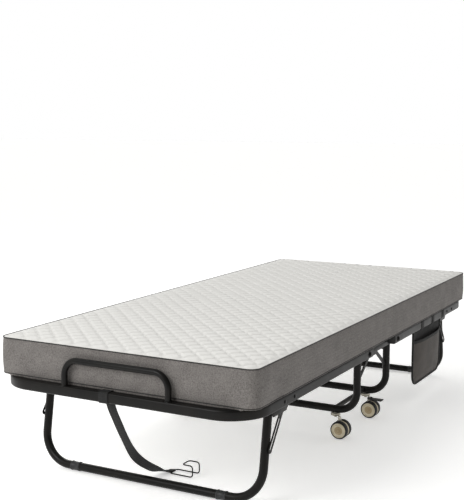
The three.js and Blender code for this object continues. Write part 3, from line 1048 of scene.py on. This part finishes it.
    def retainer(self) -> None:
        """Bend the retainer hoop that stands on the end tube, welded at its feet."""
        extent = Extent.of(f"{self.name}_retainer_hoop")
        radius = extent.size.x / 2
        x = extent.middle.x
        y = extent.high.y - radius
        top = extent.high.z - radius
        foot = extent.low.z
        corners = [Vector((x, -y, foot)), Vector((x, -y, top)), Vector((x, y, top)), Vector((x, y, foot))]
        mesh = bmesh.new()
        sweep(mesh, round_section(radius), bent_frames(corners, 0.045, Vector((1, 0, 0)), 14))
        for way in (-1, 1):
            self.bead(mesh, Vector((x, way * y, foot)), (0, 0, 1), radius)
        piece = make_piece(f"{self.name}_bent_retainer_hoop", mesh, [self.finishes.powder_coat])
        install(piece, self.body, "powder_coat", f"{self.name}_retainer_hoop")

    def brackets(self) -> None:
        """Ease the leg brackets and put their rivet heads on the outer face of the side tube."""
        pivots = [j["pos_m"] for j in FRAME["joints"] if j["name"] == f"{self.name}_leg_fold"]
        pivots += [j["pos_m"] for j in FRAME["joints"] if j["name"] == f"{self.name}_strut_swing"]
        for side in Side:
            node = f"{self.name}_leg_bracket_{side.label}"
            piece = eased_copy(f"{node}_eased", self.nodes[node], self.finishes.powder_coat, 0.0006)
            install(piece, self.body, "powder_coat", node)
            mesh = bmesh.new()
            for x, _, _ in pivots:
                place = axis_placement((x, side.value * (self.side_y + self.tube / 2), self.axis_z), (0, side.value, 0))
                rivet_head(mesh, place, 0.006)
            rivets = make_piece(f"{self.name}_bracket_rivets_{side.label}", mesh, [self.finishes.powder_coat])
            install(rivets, self.body, "powder_coat")


def rivet_head(mesh: bmesh.types.BMesh, placement: Matrix, radius: float) -> None:
    """Add a domed rivet head that sits on a face.

    Args:
        mesh: The bmesh to add to.
        placement: A point on the face, with Z along its normal.
        radius: The head's radius.
    """
    steps = 6
    dome = [
        (radius * math.cos(math.pi / 2 * k / steps), 0.45 * radius * math.sin(math.pi / 2 * k / steps))
        for k in range(steps)
    ]
    profile = [(0.0, -0.001), (radius, -0.001), *dome, (0.0, 0.45 * radius)]
    spin_profile(mesh, profile, placement, 24)


# ---------------------------------------------------------------- legs


@dataclass
class FoldingLeg:
    """Leg hoop with its floor sleeves and its two slotted struts."""

    half: Half
    finishes: Finishes
    nodes: dict[str, bpy.types.Object]
    tube_radius: float = 0.0125
    bend: float = 0.092

    def build(self) -> None:
        """Make the hoop, sleeves and struts."""
        name = self.half.label
        pivot = Vector(next(j["pos_m"] for j in FRAME["joints"] if j["name"] == f"{name}_leg_fold"))
        extent = Extent.of(f"{name}_leg_hoop")
        sleeves = {side: Extent.of(f"{name}_leg_sleeve_{side.label}") for side in Side}
        sleeve = sleeves[Side.LEFT]
        low = Vector((sleeve.middle.x, 0, sleeve.high.z - sleeve.size.x / 2))
        along = (low - pivot).normalized()
        top = pivot - along * 0.013
        y = extent.high.y - self.tube_radius
        corners = [
            Vector((top.x, -y, top.z)),
            Vector((low.x, -y, low.z)),
            Vector((low.x, y, low.z)),
            Vector((top.x, y, top.z)),
        ]
        across = along.cross(Vector((0, 1, 0)))
        mesh = bmesh.new()
        sweep(mesh, round_section(self.tube_radius, 32), bent_frames(corners, self.bend, across, 18))
        hoop = make_piece(f"{name}_bent_leg_hoop", mesh, [self.finishes.powder_coat])
        install(hoop, f"{name}_leg", "powder_coat", f"{name}_leg_hoop")
        for side, box in sleeves.items():
            self.sleeve(side, box, low)
            node = f"{name}_leg_strut_{side.label}"
            strut = eased_copy(f"{node}_eased", self.nodes[node], self.finishes.powder_coat, 0.0007)
            install(strut, f"{name}_struts", "powder_coat", node)

    def sleeve(self, side: Side, box: Extent, low: Vector) -> None:
        """Turn a moulded sleeve with a rolled lip at each end, and flatten it where it stands.

        Args:
            side: Which side of the bed.
            box: The CAD sleeve's box.
            low: A point on the middle line of the leg's bottom tube.
        """
        radius = self.tube_radius + 0.0018
        half = box.size.y / 2
        inner = self.tube_radius + 0.0001
        profile = [
            (inner, -half),
            (radius - 0.0015, -half),
            (radius, -half + 0.0015),
            (radius, -half + 0.004),
            (radius - 0.0012, -half + 0.006),
            (radius - 0.0012, half - 0.006),
            (radius, half - 0.004),
            (radius, half - 0.0015),
            (radius - 0.0015, half),
            (inner, half),
            (inner, -half),
        ]
        mesh = bmesh.new()
        spin_profile(mesh, profile, axis_placement((low.x, box.middle.y, low.z), (0, 1, 0)), 40)
        for vert in mesh.verts:
            vert.co.z = max(vert.co.z, box.low.z)
        name = f"{self.half.label}_floor_sleeve_{side.label}"
        piece = make_piece(name, mesh, [self.finishes.plastic], 45)
        install(piece, f"{self.half.label}_leg", "sleeve_plastic", f"{self.half.label}_leg_sleeve_{side.label}")


# ---------------------------------------------------------------- carriage


@dataclass
class Carriage:
    """The short base on castors: two U hoops, side rails, braces, tie bars and fold rivets."""

    finishes: Finishes
    nodes: dict[str, bpy.types.Object]
    tube_radius: float = 0.0125
    bend: float = 0.065
    crossbar_radius: float = 0.010
    crossbar_z: float = 0.262

    def build(self) -> None:
        """Make every piece of the carriage."""
        for half in Half:
            self.hoop(half)
        for side in Side:
            for part, width in (("side_rail", 0.003), ("v_brace", 0.0009)):
                node = f"{side.label}_{part}"
                piece = eased_copy(f"{node}_eased", self.nodes[node], self.finishes.powder_coat, width)
                install(piece, "carriage", "powder_coat", node)
            self.tie_bar(side)
            self.fold_rivets(side)

    def hoop(self, half: Half) -> None:
        """Bend one U hoop and weld its crossbar in."""
        node = f"{half.label}_base_hoop"
        extent = Extent.of(node)
        x = extent.middle.x
        y = extent.high.y - self.tube_radius
        low = extent.low.z + self.tube_radius
        top = extent.high.z
        corners = [Vector((x, -y, top)), Vector((x, -y, low)), Vector((x, y, low)), Vector((x, y, top))]
        mesh = bmesh.new()
        sweep(mesh, round_section(self.tube_radius, 32), bent_frames(corners, self.bend, Vector((1, 0, 0)), 16))
        ends = [Vector((x, way * y, self.crossbar_z)) for way in (-1, 1)]
        bar = [frame_at(p, Vector((0, 1, 0)), Vector((0, 0, 1))) for p in ends]
        sweep(mesh, round_section(self.crossbar_radius, 24), bar)
        piece = make_piece(f"{half.label}_carriage_hoop", mesh, [self.finishes.powder_coat])
        install(piece, "carriage", "powder_coat", node)

    def tie_bar(self, side: Side) -> None:
        """Make the round bar that ties the two hoops near the floor."""
        node = f"{side.label}_tie_bar"
        extent = Extent.of(node)
        middle = extent.middle
        ends = [Vector((x, middle.y, middle.z)) for x in (extent.low.x, extent.high.x)]
        mesh = bmesh.new()
        bar = [frame_at(p, Vector((1, 0, 0)), Vector((0, 0, 1))) for p in ends]
        sweep(mesh, round_section(extent.size.z / 2, 24), bar)
        piece = make_piece(f"{side.label}_round_tie_bar", mesh, [self.finishes.powder_coat])
        install(piece, "carriage", "powder_coat", node)

    def fold_rivets(self, side: Side) -> None:
        """Put a washer and a domed head on the outer end of each fold stud."""
        rail = Extent.of(f"{side.label}_side_rail")
        outer = rail.high.y if side is Side.LEFT else rail.low.y
        mesh = bmesh.new()
        for half in Half:
            tube = Extent.of(f"{half.label}_frame_tube")
            face = tube.high.y if side is Side.LEFT else tube.low.y
            pivot = next(j["pos_m"] for j in FRAME["joints"] if j["name"] == f"{half.label}_frame_fold")
            washer = [(0.0, 0.0004), (0.011, 0.0004), (0.011, 0.0016), (0.0, 0.0016)]
            spin_profile(mesh, washer, axis_placement((pivot[0], face, pivot[2]), (0, side.value, 0)), 32)
            rivet_head(mesh, axis_placement((pivot[0], outer, pivot[2]), (0, side.value, 0)), 0.0075)
        piece = make_piece(f"{side.label}_fold_rivets", mesh, [self.finishes.powder_coat])
        install(piece, "carriage", "powder_coat")


# ---------------------------------------------------------------- castors


@dataclass
class Castor:
    """Twin-wheel swivel castor with a plated fork, nylon centres and soft treads."""

    half: Half
    side: Side
    finishes: Finishes
    nodes: dict[str, bpy.types.Object]
    play: float = 0.0004
    housing_step: float = 0.0012
    cap_share: float = 0.66

    def __post_init__(self) -> None:
        """Read the swivel's place."""
        self.name = f"castor_{self.half.label}_{self.side.label}"
        joint = next(j for j in FRAME["joints"] if j["name"] == f"{self.name}_swivel")
        self.stem = Vector((joint["pos_m"][0], joint["pos_m"][1], 0))

    def build(self) -> None:
        """Make the fork, housing, axle, wheels and, at the head, the brake lever."""
        self.fork()
        self.housing()
        self.axle()
        for place in ("inner", "outer"):
            self.wheel(place)
        node = f"{self.name}_brake_lever"
        if node in self.nodes:
            lever = eased_copy(f"{node}_eased", self.nodes[node], self.finishes.plastic, 0.0012)
            install(lever, f"brake_{self.half.label}_{self.side.label}", "black_plastic", node)

    def fork(self) -> None:
        """Ease a copy of the pressed fork and turn the thrust cup."""
        piece = eased_copy(f"{self.name}_pressed_fork", self.nodes[f"{self.name}_fork"], self.finishes.zinc, 0.0006)
        install(piece, self.name, "zinc_steel", f"{self.name}_fork")
        mesh = bmesh.new()
        ring = [(0.0, 0.0), (0.0165, 0.0), (0.0172, 0.0012), (0.0165, 0.0026), (0.0, 0.0026)]
        spin_profile(mesh, ring, Matrix.Translation(self.stem + Vector((0, 0, 0.0775))), 40)
        cups = make_piece(f"{self.name}_thrust_cup", mesh, [self.finishes.zinc])
        install(cups, self.name, "zinc_steel")

    def housing(self) -> None:
        """Turn the moulded disc that fills the space between the two wheels."""
        wheels = [Extent.of(f"{self.name}_wheel_{place}") for place in ("inner", "outer")]
        gap = max(w.low.x for w in wheels) - min(w.high.x for w in wheels)
        centre = (wheels[0].middle + wheels[1].middle) / 2
        half = gap / 2 - self.play
        radius = wheels[0].size.z / 2 - self.housing_step
        ease = half * 0.5
        profile = [(0.0, -half), (radius - ease, -half), (radius, ease - half)]
        profile += [(radius, half - ease), (radius - ease, half), (0.0, half)]
        mesh = bmesh.new()
        spin_profile(mesh, profile, axis_placement(centre, (1, 0, 0)), 56)
        install(make_piece(f"{self.name}_housing", mesh, [self.finishes.nylon]), self.name, "castor_wheel")

    def axle(self) -> None:
        """Make the axle with an eased head at each end."""
        node = f"{self.name}_axle"
        extent = Extent.of(node)
        half = extent.size.x / 2
        radius = extent.size.z / 2
        profile = [(0.0, -half), (radius - 0.0008, -half), (radius, 0.0008 - half)]
        profile += [(radius, half - 0.0008), (radius - 0.0008, half), (0.0, half)]
        mesh = bmesh.new()
        spin_profile(mesh, profile, axis_placement(extent.middle, (1, 0, 0)), 24)
        install(make_piece(f"{self.name}_turned_axle", mesh, [self.finishes.zinc]), self.name, "zinc_steel", node)

    def wheel(self, place: str) -> None:
        """Turn a tread and a nylon centre.

        Args:
            place: "inner" for the wheel nearer the bed's middle, or "outer".
        """
        node = f"{self.name}_wheel_{place}"
        body = f"wheel_{self.half.label}_{self.side.label}_{place}"
        extent = Extent.of(node)
        centre = extent.middle
        way = 1 if centre.x > self.stem.x else -1
        radius = extent.size.z / 2
        half = extent.size.x / 2
        hub = radius - 0.0042
        arc = 8
        tread = [(hub, -half + 0.001), (radius - 0.003, -half + 0.0005)]
        tread += [
            (radius - 0.003 + 0.003 * math.sin(math.pi / 2 * k / arc), -half + 0.0035 - 0.003 * math.cos(math.pi / 2 * k / arc))
            for k in range(arc + 1)
        ]
        tread += [
            (radius - 0.005 + 0.005 * math.cos(math.pi / 2 * k / arc), half - 0.005 + 0.005 * math.sin(math.pi / 2 * k / arc))
            for k in range(arc + 1)
        ]
        tread += [(hub, half - 0.0005), (hub, -half + 0.001)]
        mesh = bmesh.new()
        placement = axis_placement(centre, (way, 0, 0))
        spin_profile(mesh, tread, placement, 64)
        tyre = make_piece(f"{node}_tread", mesh, [self.finishes.tread])
        install(tyre, body, "castor_wheel", node)
        face = half - 0.0008
        back = 0.0012 - half
        centre_profile = [
            (0.0, back),
            (0.006, back),
            (hub - 0.006, back + 0.0012),
            (hub - 0.0014, back),
            (hub - 0.0002, back + 0.0012),
            (hub - 0.0002, face - 0.0012),
            (hub - 0.0012, face),
            (hub - 0.004, face),
            (hub - 0.0048, face - 0.0012),
            (hub - 0.0056, face - 0.0006),
            (hub * 0.55, face + 0.0006),
            (0.0062, face + 0.001),
            (0.0055, face - 0.0004),
            (0.005, face + 0.0012),
            (0.002, face + 0.0018),
            (0.0, face + 0.0018),
        ]
        mesh = bmesh.new()
        spin_profile(mesh, centre_profile, placement, 64)
        # Faces near the axle take the darker nylon: painted shade on the middle of the wheel.
        for face in mesh.faces:
            offset = face.calc_center_median() - centre
            if math.hypot(offset.y, offset.z) < self.cap_share * hub:
                face.material_index = 1
        piece = make_piece(f"{node}_centre", mesh, [self.finishes.nylon, self.finishes.cap])
        install(piece, body, "castor_wheel")


# ---------------------------------------------------------------- strap


@dataclass
class StorageStrap:
    """Webbing strap looped round the foot end tube, with a wire hook on its free end."""

    finishes: Finishes
    width: float = 0.031
    thickness: float = 0.0024
    hem: float = 0.0012
    hook_return: float = 0.035
    narrowing: float = 0.3
    lean: float = 0.9
    # The middle line: down from the tube, over the leg's bottom tube, to the hook's hem.
    route: tuple[tuple[float, float, float], ...] = (
        (-0.9458, 0.0312, 0.29),
        (-0.9448, 0.0312, 0.271),
        (-0.9365, 0.029, 0.246),
        (-0.923, 0.0252, 0.2155),
        (-0.9085, 0.0218, 0.184),
        (-0.892, 0.0194, 0.154),
        (-0.874, 0.0182, 0.1265),
        (-0.8545, 0.0175, 0.101),
        (-0.833, 0.0168, 0.0795),
        (-0.809, 0.0158, 0.061),
        (-0.784, 0.0142, 0.0445),
        (-0.758, 0.0118, 0.0288),
        (-0.735, 0.0084, 0.017),
        (-0.711, 0.0026, 0.0076),
        (-0.694, -0.0045, 0.0046),
    )

    def build(self) -> None:
        hook, hem, loop = self.hook(), self.end_hem(), self.loop()
        frames = self.frames()
        mesh = bmesh.new()
        sweep(mesh, box_section(self.width, self.thickness, 0.0009, 3), frames, weave=True)
        strap = make_piece("storage_strap", mesh, [self.finishes.webbing], 50)
        install(strap, "foot_frame", "webbing", "strap")

    def frames(self) -> list[Matrix]:
        """Placements along a smooth curve through the route, with the width square to its way."""
        points = [Vector(p) for p in self.route]
        ends = [points[0] * 2 - points[1], *points, points[-1] * 2 - points[-2]]
        samples: list[Vector] = []
        steps = 5
        for i in range(1, len(ends) - 2):
            p0, p1, p2, p3 = ends[i - 1 : i + 3]
            for k in range(steps):
                t = k / steps
                samples.append(
                    0.5
                    * (
                        2 * p1
                        + (p2 - p0) * t
                        + (2 * p0 - 5 * p1 + 4 * p2 - p3) * t**2
                        + (3 * p1 - p0 - 3 * p2 + p3) * t**3
                    )
                )
        samples.append(points[-1])
        frames = []
        for i, point in enumerate(samples):
            t = i / (len(samples) - 1)
            along = samples[min(i + 1, len(samples) - 1)] - samples[max(i - 1, 0)]
            level = Vector((-along.y, along.x, 0)).normalized()
            across = Vector((0, 1, 0)).lerp(level, eased(t, 0.55, 1.0))
            across.z -= self.lean * eased(t, 0.35, 0.6) * (1 - eased(t, 0.75, 0.97))
            taper = Matrix.Scale(1 - self.narrowing * eased(t, 0.85, 1.0), 4, Vector((1, 0, 0)))
            frames.append(frame_at(point, along, across) @ taper)
        return frames

    def loop(self) -> bpy.types.Object:
        """Wrap webbing round the end tube, following its rounded corners."""
        tube = Extent.of("foot_frame_tube")
        box = Extent.of("strap_loop")
        outer = tube.size.z / 2 + 0.0003
        centre = Vector((tube.low.x + tube.size.z / 2, box.middle.y, tube.middle.z))
        mesh = bmesh.new()
        rings = []
        for grow in (0.0, 0.0018):
            size = 2 * (outer + grow)
            section = box_section(size, size, 0.006 + grow, 5)
            rings.append([mesh.verts.new(centre + Vector((x, -box.size.y / 2, z))) for x, z in section])
        loops = [[mesh.edges.new((r[i], r[(i + 1) % len(r)])) for i in range(len(r))] for r in rings]
        bmesh.ops.bridge_loops(mesh, edges=loops[0] + loops[1])
        grown = bmesh.ops.extrude_face_region(mesh, geom=mesh.faces[:], use_keep_orig=True)["geom"]
        moved = [g for g in grown if isinstance(g, bmesh.types.BMVert)]
        bmesh.ops.translate(mesh, verts=moved, vec=(0, box.size.y, 0))
        uv = mesh.loops.layers.uv.new("weave")
        for face in mesh.faces:
            for corner in face.loops:
                turn = math.atan2(corner.vert.co.z - centre.z, corner.vert.co.x - centre.x)
                corner[uv].uv = (corner.vert.co.y, turn * outer)
        piece = make_piece("strap_tube_loop", mesh, [self.finishes.webbing], 50)
        return install(piece, "foot_frame", "webbing", "strap_loop")

    def hook(self) -> bpy.types.Object:
        """Bend the hook from one wire: a crossbar in the strap's hem, two shanks, and a tip bent up and back."""
        box = Extent.of("strap_hook")
        radius, bend, butt_gap = 0.002, 0.009, 0.0002
        x0, x1 = box.low.x + radius, box.high.x - radius
        y0, y1 = box.high.y - radius, box.low.y + radius
        z0, z1 = box.low.z + radius + self.hem, box.high.z - radius
        tip = y1 + self.hook_return
        middle = (x0 + x1) / 2
        corners = [(middle + butt_gap, y0, z0), (x1, y0, z0), (x1, y1, z0), (x1, y1, z1), (x1, tip, z1)]
        corners += [(x0, tip, z1), (x0, y1, z1), (x0, y1, z0), (x0, y0, z0), (middle - butt_gap, y0, z0)]
        mesh = bmesh.new()
        frames = bent_frames([Vector(c) for c in corners], bend, Vector((0, 0, 1)), 8)
        sweep(mesh, round_section(radius, 14), frames)
        piece = make_piece("strap_wire_hook", mesh, [self.finishes.powder_coat])
        return install(piece, "foot_frame", "powder_coat", "strap_hook")

    def end_hem(self) -> bpy.types.Object:
        """Fold the strap's end round the hook's crossbar and sew it back on itself."""
        box = Extent.of("strap_hook")
        wire = 0.002
        grip = wire + self.hem
        centre = Vector((box.middle.x, box.high.y - wire, box.low.z + wire + self.hem))
        tail = 0.019
        steps = 10
        arc = [math.pi / 2 + math.pi * k / steps for k in range(steps + 1)]
        outline = [(grip * math.cos(turn), grip * math.sin(turn)) for turn in arc]
        outline += [(tail, -grip + 0.0002), (tail, -grip + 0.0036)]
        mesh = bmesh.new()
        turn = Matrix(((0, 0, 1), (1, 0, 0), (0, 1, 0))).to_4x4()
        extrude_outline(mesh, outline, self.width * (1 - self.narrowing) + 0.0004, Matrix.Translation(centre) @ turn)
        ease_edges(mesh, 0.0005, 40, 2)
        uv = mesh.loops.layers.uv.new("weave")
        for face in mesh.faces:
            for corner in face.loops:
                corner[uv].uv = (corner.vert.co.x, corner.vert.co.y + corner.vert.co.z)
        piece = make_piece("strap_end_hem", mesh, [self.finishes.webbing], 50)
        return install(piece, "foot_frame", "webbing")


# ---------------------------------------------------------------- side pocket


@dataclass
class SidePocket:
    """Cloth pocket hung from the side tube: a stiff back, a slack pouch, bound edges and loops."""

    finishes: Finishes
    corner: float = 0.04
    cloth: float = 0.0016
    binding: float = 0.0042
    mouth_drop: float = 0.046

    def build(self) -> None:
        """Make the back panel, the pouch, the binding, the hem and the hanging loops."""
        self.box = Extent.of("side_pocket")
        self.back_y = self.box.high.y - 0.002
        self.width = self.box.size.x
        self.centre_x = self.box.middle.x
        back = self.panel("pocket_back_panel", self.box.high.z, self.finishes.pocket_trim, 0.0)
        pouch = self.panel("pocket_pouch", self.box.high.z - self.mouth_drop, self.finishes.pocket_cloth, 0.018)
        install(back, "head_frame", "pocket_cloth", "side_pocket")
        install(pouch, "head_frame", "pocket_cloth")
        install(self.edge_binding(), "head_frame", "pocket_cloth")
        install(self.mouth_hem(), "head_frame", "pocket_cloth")
        install(self.loops(), "head_frame", "webbing")

    def slack(self, u: float, v: float, depth: float) -> float:
        """How far the pouch stands off its back panel.

        Args:
            u: Position across the pouch, from -1 to 1.
            v: Height from 0 at the bottom to 1 at the mouth.
            depth: The most it stands off.

        Returns:
            The distance outward.
        """
        across = 1 - abs(u) ** 3
        upward = 0.25 + 0.75 * min(v * 1.6, 1.0)
        base = min(v / 0.16, 1.0)
        fold = 0.0016 * noise.noise(Vector((u * 2.2, v * 2.6, 4.0)))
        return (depth * across * upward + fold * across) * base * (2 - base) if depth else 0.0

    def panel(self, name: str, top: float, material: bpy.types.Material, depth: float) -> bpy.types.Object:
        """Make a cloth panel with round lower corners.

        Args:
            name: The piece's name.
            top: Height of the panel's upper edge.
            material: The finish.
            depth: How far its middle stands out.

        Returns:
            The panel.
        """
        mesh = bmesh.new()
        verts = bmesh.ops.create_grid(mesh, x_segments=66, y_segments=42, size=0.5)["verts"]
        half = self.width / 2 - self.binding
        low = self.box.low.z + self.binding
        for vert in verts:
            u, v = vert.co.x * 2, vert.co.y + 0.5
            x = u * half
            z = low + v * (top - low)
            over_x = abs(x) - (half - self.corner)
            over_z = (low + self.corner) - z
            if over_x > 0 and over_z > 0:
                reach = max(over_x, over_z) / math.hypot(over_x, over_z)
                x = math.copysign(half - self.corner + over_x * reach, x)
                z = low + self.corner - over_z * reach
            y = self.back_y - self.cloth - self.slack(u, v, depth)
            vert.co = Vector((self.centre_x + x, y, z))
        bmesh.ops.recalc_face_normals(mesh, faces=mesh.faces)
        bmesh.ops.solidify(mesh, geom=mesh.faces[:], thickness=self.cloth)
        return make_piece(name, mesh, [material], 60)

    def edge_binding(self) -> bpy.types.Object:
        """Sweep bound tape down both sides and round the bottom."""
        half = self.width / 2 - self.binding
        y = self.back_y - self.cloth
        top, low = self.box.high.z, self.box.low.z + self.binding
        corners = [
            Vector((self.centre_x - half, y, top)),
            Vector((self.centre_x - half, y, low)),
            Vector((self.centre_x + half, y, low)),
            Vector((self.centre_x + half, y, top)),
        ]
        mesh = bmesh.new()
        frames = bent_frames(corners, self.corner, Vector((0, 1, 0)), 12)
        sweep(mesh, box_section(0.007, 2 * self.binding, 0.0022), frames)
        return make_piece("pocket_edge_binding", mesh, [self.finishes.pocket_trim])

    def mouth_hem(self) -> bpy.types.Object:
        """Sweep a flat hem along the pouch's mouth."""
        half = self.width / 2 - self.binding
        top = self.box.high.z - self.mouth_drop
        steps = 40
        points = []
        for k in range(steps + 1):
            u = -1 + 2 * k / steps
            y = self.back_y - self.cloth - self.slack(u, 1.0, 0.018)
            points.append(Vector((self.centre_x + u * half, y, top - 0.004)))
        frames = []
        for k, point in enumerate(points):
            along = points[min(k + 1, steps)] - points[max(k - 1, 0)]
            frames.append(frame_at(point, along, Vector((0, 0, 1))))
        mesh = bmesh.new()
        sweep(mesh, box_section(0.011, 0.0032, 0.0012), frames)
        return make_piece("pocket_mouth_hem", mesh, [self.finishes.pocket_trim])

    def loops(self) -> bpy.types.Object:
        """Hang the pocket from the side tube by three webbing loops."""
        tube = Extent.of("head_frame_tube")
        centre_y = tube.low.y + tube.size.z / 2
        centre_z = tube.middle.z
        outer = tube.size.z / 2 + 0.0002
        mesh = bmesh.new()
        uv = mesh.loops.layers.uv.new("weave")
        for share in (-0.38, 0.0, 0.38):
            x = self.centre_x + share * self.width
            rings = []
            for grow in (0.0, 0.0012):
                size = 2 * (outer + grow)
                section = box_section(size, size, 0.006 + grow, 4)
                rings.append([mesh.verts.new((x - 0.0125, centre_y + a, centre_z + b)) for a, b in section])
            edges = [mesh.edges.new((r[i], r[(i + 1) % len(r)])) for r in rings for i in range(len(r))]
            faces = bmesh.ops.bridge_loops(mesh, edges=edges)["faces"]
            grown = bmesh.ops.extrude_face_region(mesh, geom=faces, use_keep_orig=True)["geom"]
            moved = [g for g in grown if isinstance(g, bmesh.types.BMVert)]
            bmesh.ops.translate(mesh, verts=moved, vec=(0.025, 0, 0))
        for face in mesh.faces:
            for corner in face.loops:
                turn = math.atan2(corner.vert.co.z - centre_z, corner.vert.co.y - centre_y)
                corner[uv].uv = (corner.vert.co.x, turn * outer)
        return make_piece("pocket_hanging_loops", mesh, [self.finishes.webbing], 50)


# ---------------------------------------------------------------- studio


@dataclass
class Studio:
    """Plain pale floor, soft lights and the camera."""

    eye: tuple[float, float, float] = (-3.1848, -1.5779, 1.0550)
    heading: float = 0.5003  # from +X towards +Y
    dip: float = 0.1283
    lens: float = 72.869
    sensor: float = 36.0
    floor_glow: float = 0.4
    dome: float = 1.0
    dim_sky: str = "8e8d8b"
    bright_side: tuple[float, float, float] = (0.62, 0.72, -0.3)

    def build(self) -> None:
        """Make the floor, the lights and the camera."""
        self.floor()
        self.world()
        self.light("key_softbox", (-3.6, 0.9, 2.3), (-0.3, 0.1, 0.3), 1.6, 62)
        self.light("rim_softbox", (2.6, 2.6, 2.2), (0, 0, 0.3), 1.8, 26)
        self.camera()
        bpy.context.scene.view_settings.view_transform = "Standard"

    def floor(self) -> None:
        """Lay a large pale floor."""
        material = Finish("matt_white_floor", "fbfbfa", "f8f8f7", 0.9, relief=0.00001).material()
        shader = next(node for node in material.node_tree.nodes if node.type == "BSDF_PRINCIPLED")
        shader.inputs["Emission Color"].default_value = srgb("ffffff")
        shader.inputs["Emission Strength"].default_value = self.floor_glow
        mesh = bmesh.new()
        bmesh.ops.create_grid(mesh, x_segments=2, y_segments=2, size=40)
        floor = make_piece("studio_floor", mesh, [material])

    def world(self) -> None:
        """Surround the bed with a light dome: white behind it and dimmer towards its right side."""
        world = bpy.data.worlds.new("studio_world")
        bpy.context.scene.world = world
        world.use_nodes = True
        tree = world.node_tree
        background = tree.nodes["Background"]
        background.inputs["Strength"].default_value = self.dome
        way = add_node(tree, "ShaderNodeTexCoord").outputs["Generated"]
        aim = add_node(tree, "ShaderNodeVectorMath", {"operation": "DOT_PRODUCT"}, {0: way})
        aim.inputs[1].default_value = self.bright_side
        share = add_node(
            tree, "ShaderNodeMapRange", {"From Min": -0.7, "From Max": 0.35}, {"Value": aim.outputs["Value"]}
        )
        colour = colour_ramp(tree, share.outputs["Result"], [(0.0, self.dim_sky), (1.0, "ffffff")])
        tree.links.new(colour, background.inputs["Color"])

    def light(
        self,
        name: str,
        place: tuple[float, float, float],
        target: tuple[float, float, float],
        size: float,
        power: float,
    ) -> None:
        """Hang a softbox.

        Args:
            name: The light's name.
            place: Where it hangs.
            target: What it points at.
            size: Edge length.
            power: Watts.
        """
        lamp = bpy.data.lights.new(name, "AREA")
        lamp.size = size
        lamp.energy = power
        item = bpy.data.objects.new(name, lamp)
        item.location = place
        item.rotation_euler = (Vector(target) - Vector(place)).to_track_quat("-Z", "Y").to_euler()
        bpy.context.scene.collection.objects.link(item)

    def camera(self) -> None:
        """Set the camera level, looking along the bed from its foot."""
        data = bpy.data.cameras.new("view")
        data.lens = self.lens
        data.sensor_width = self.sensor
        data.clip_end = 100
        item = bpy.data.objects.new("view", data)
        item.location = self.eye
        level = math.cos(self.dip)
        forward = Vector((level * math.cos(self.heading), level * math.sin(self.heading), -math.sin(self.dip)))
        item.rotation_euler = forward.to_track_quat("-Z", "Y").to_euler()
        bpy.context.scene.collection.objects.link(item)
        bpy.context.scene.camera = item


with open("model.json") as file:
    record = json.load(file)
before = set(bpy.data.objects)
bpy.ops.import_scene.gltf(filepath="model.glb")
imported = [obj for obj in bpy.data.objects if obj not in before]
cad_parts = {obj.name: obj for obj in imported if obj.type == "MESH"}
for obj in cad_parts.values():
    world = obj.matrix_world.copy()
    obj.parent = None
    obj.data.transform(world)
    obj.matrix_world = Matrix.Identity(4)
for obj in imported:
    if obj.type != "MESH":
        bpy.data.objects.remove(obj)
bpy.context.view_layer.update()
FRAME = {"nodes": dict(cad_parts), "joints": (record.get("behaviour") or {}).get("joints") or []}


def main() -> None:
    """Build the bed in order."""
    logging.basicConfig(level=logging.INFO, format="%(name)s: %(message)s")
    finishes = Finishes()
    nodes = FRAME["nodes"]
    Studio().build()
    StorageStrap(finishes).build()
    Mattress(finishes).build()
    for half in Half:
        HalfFrame(half, finishes, nodes).build()
        FoldingLeg(half, finishes, nodes).build()
        for side in Side:
            Castor(half, side, finishes, nodes).build()
    Carriage(finishes, nodes).build()
    SidePocket(finishes).build()


if __name__ == "__main__":
    main()
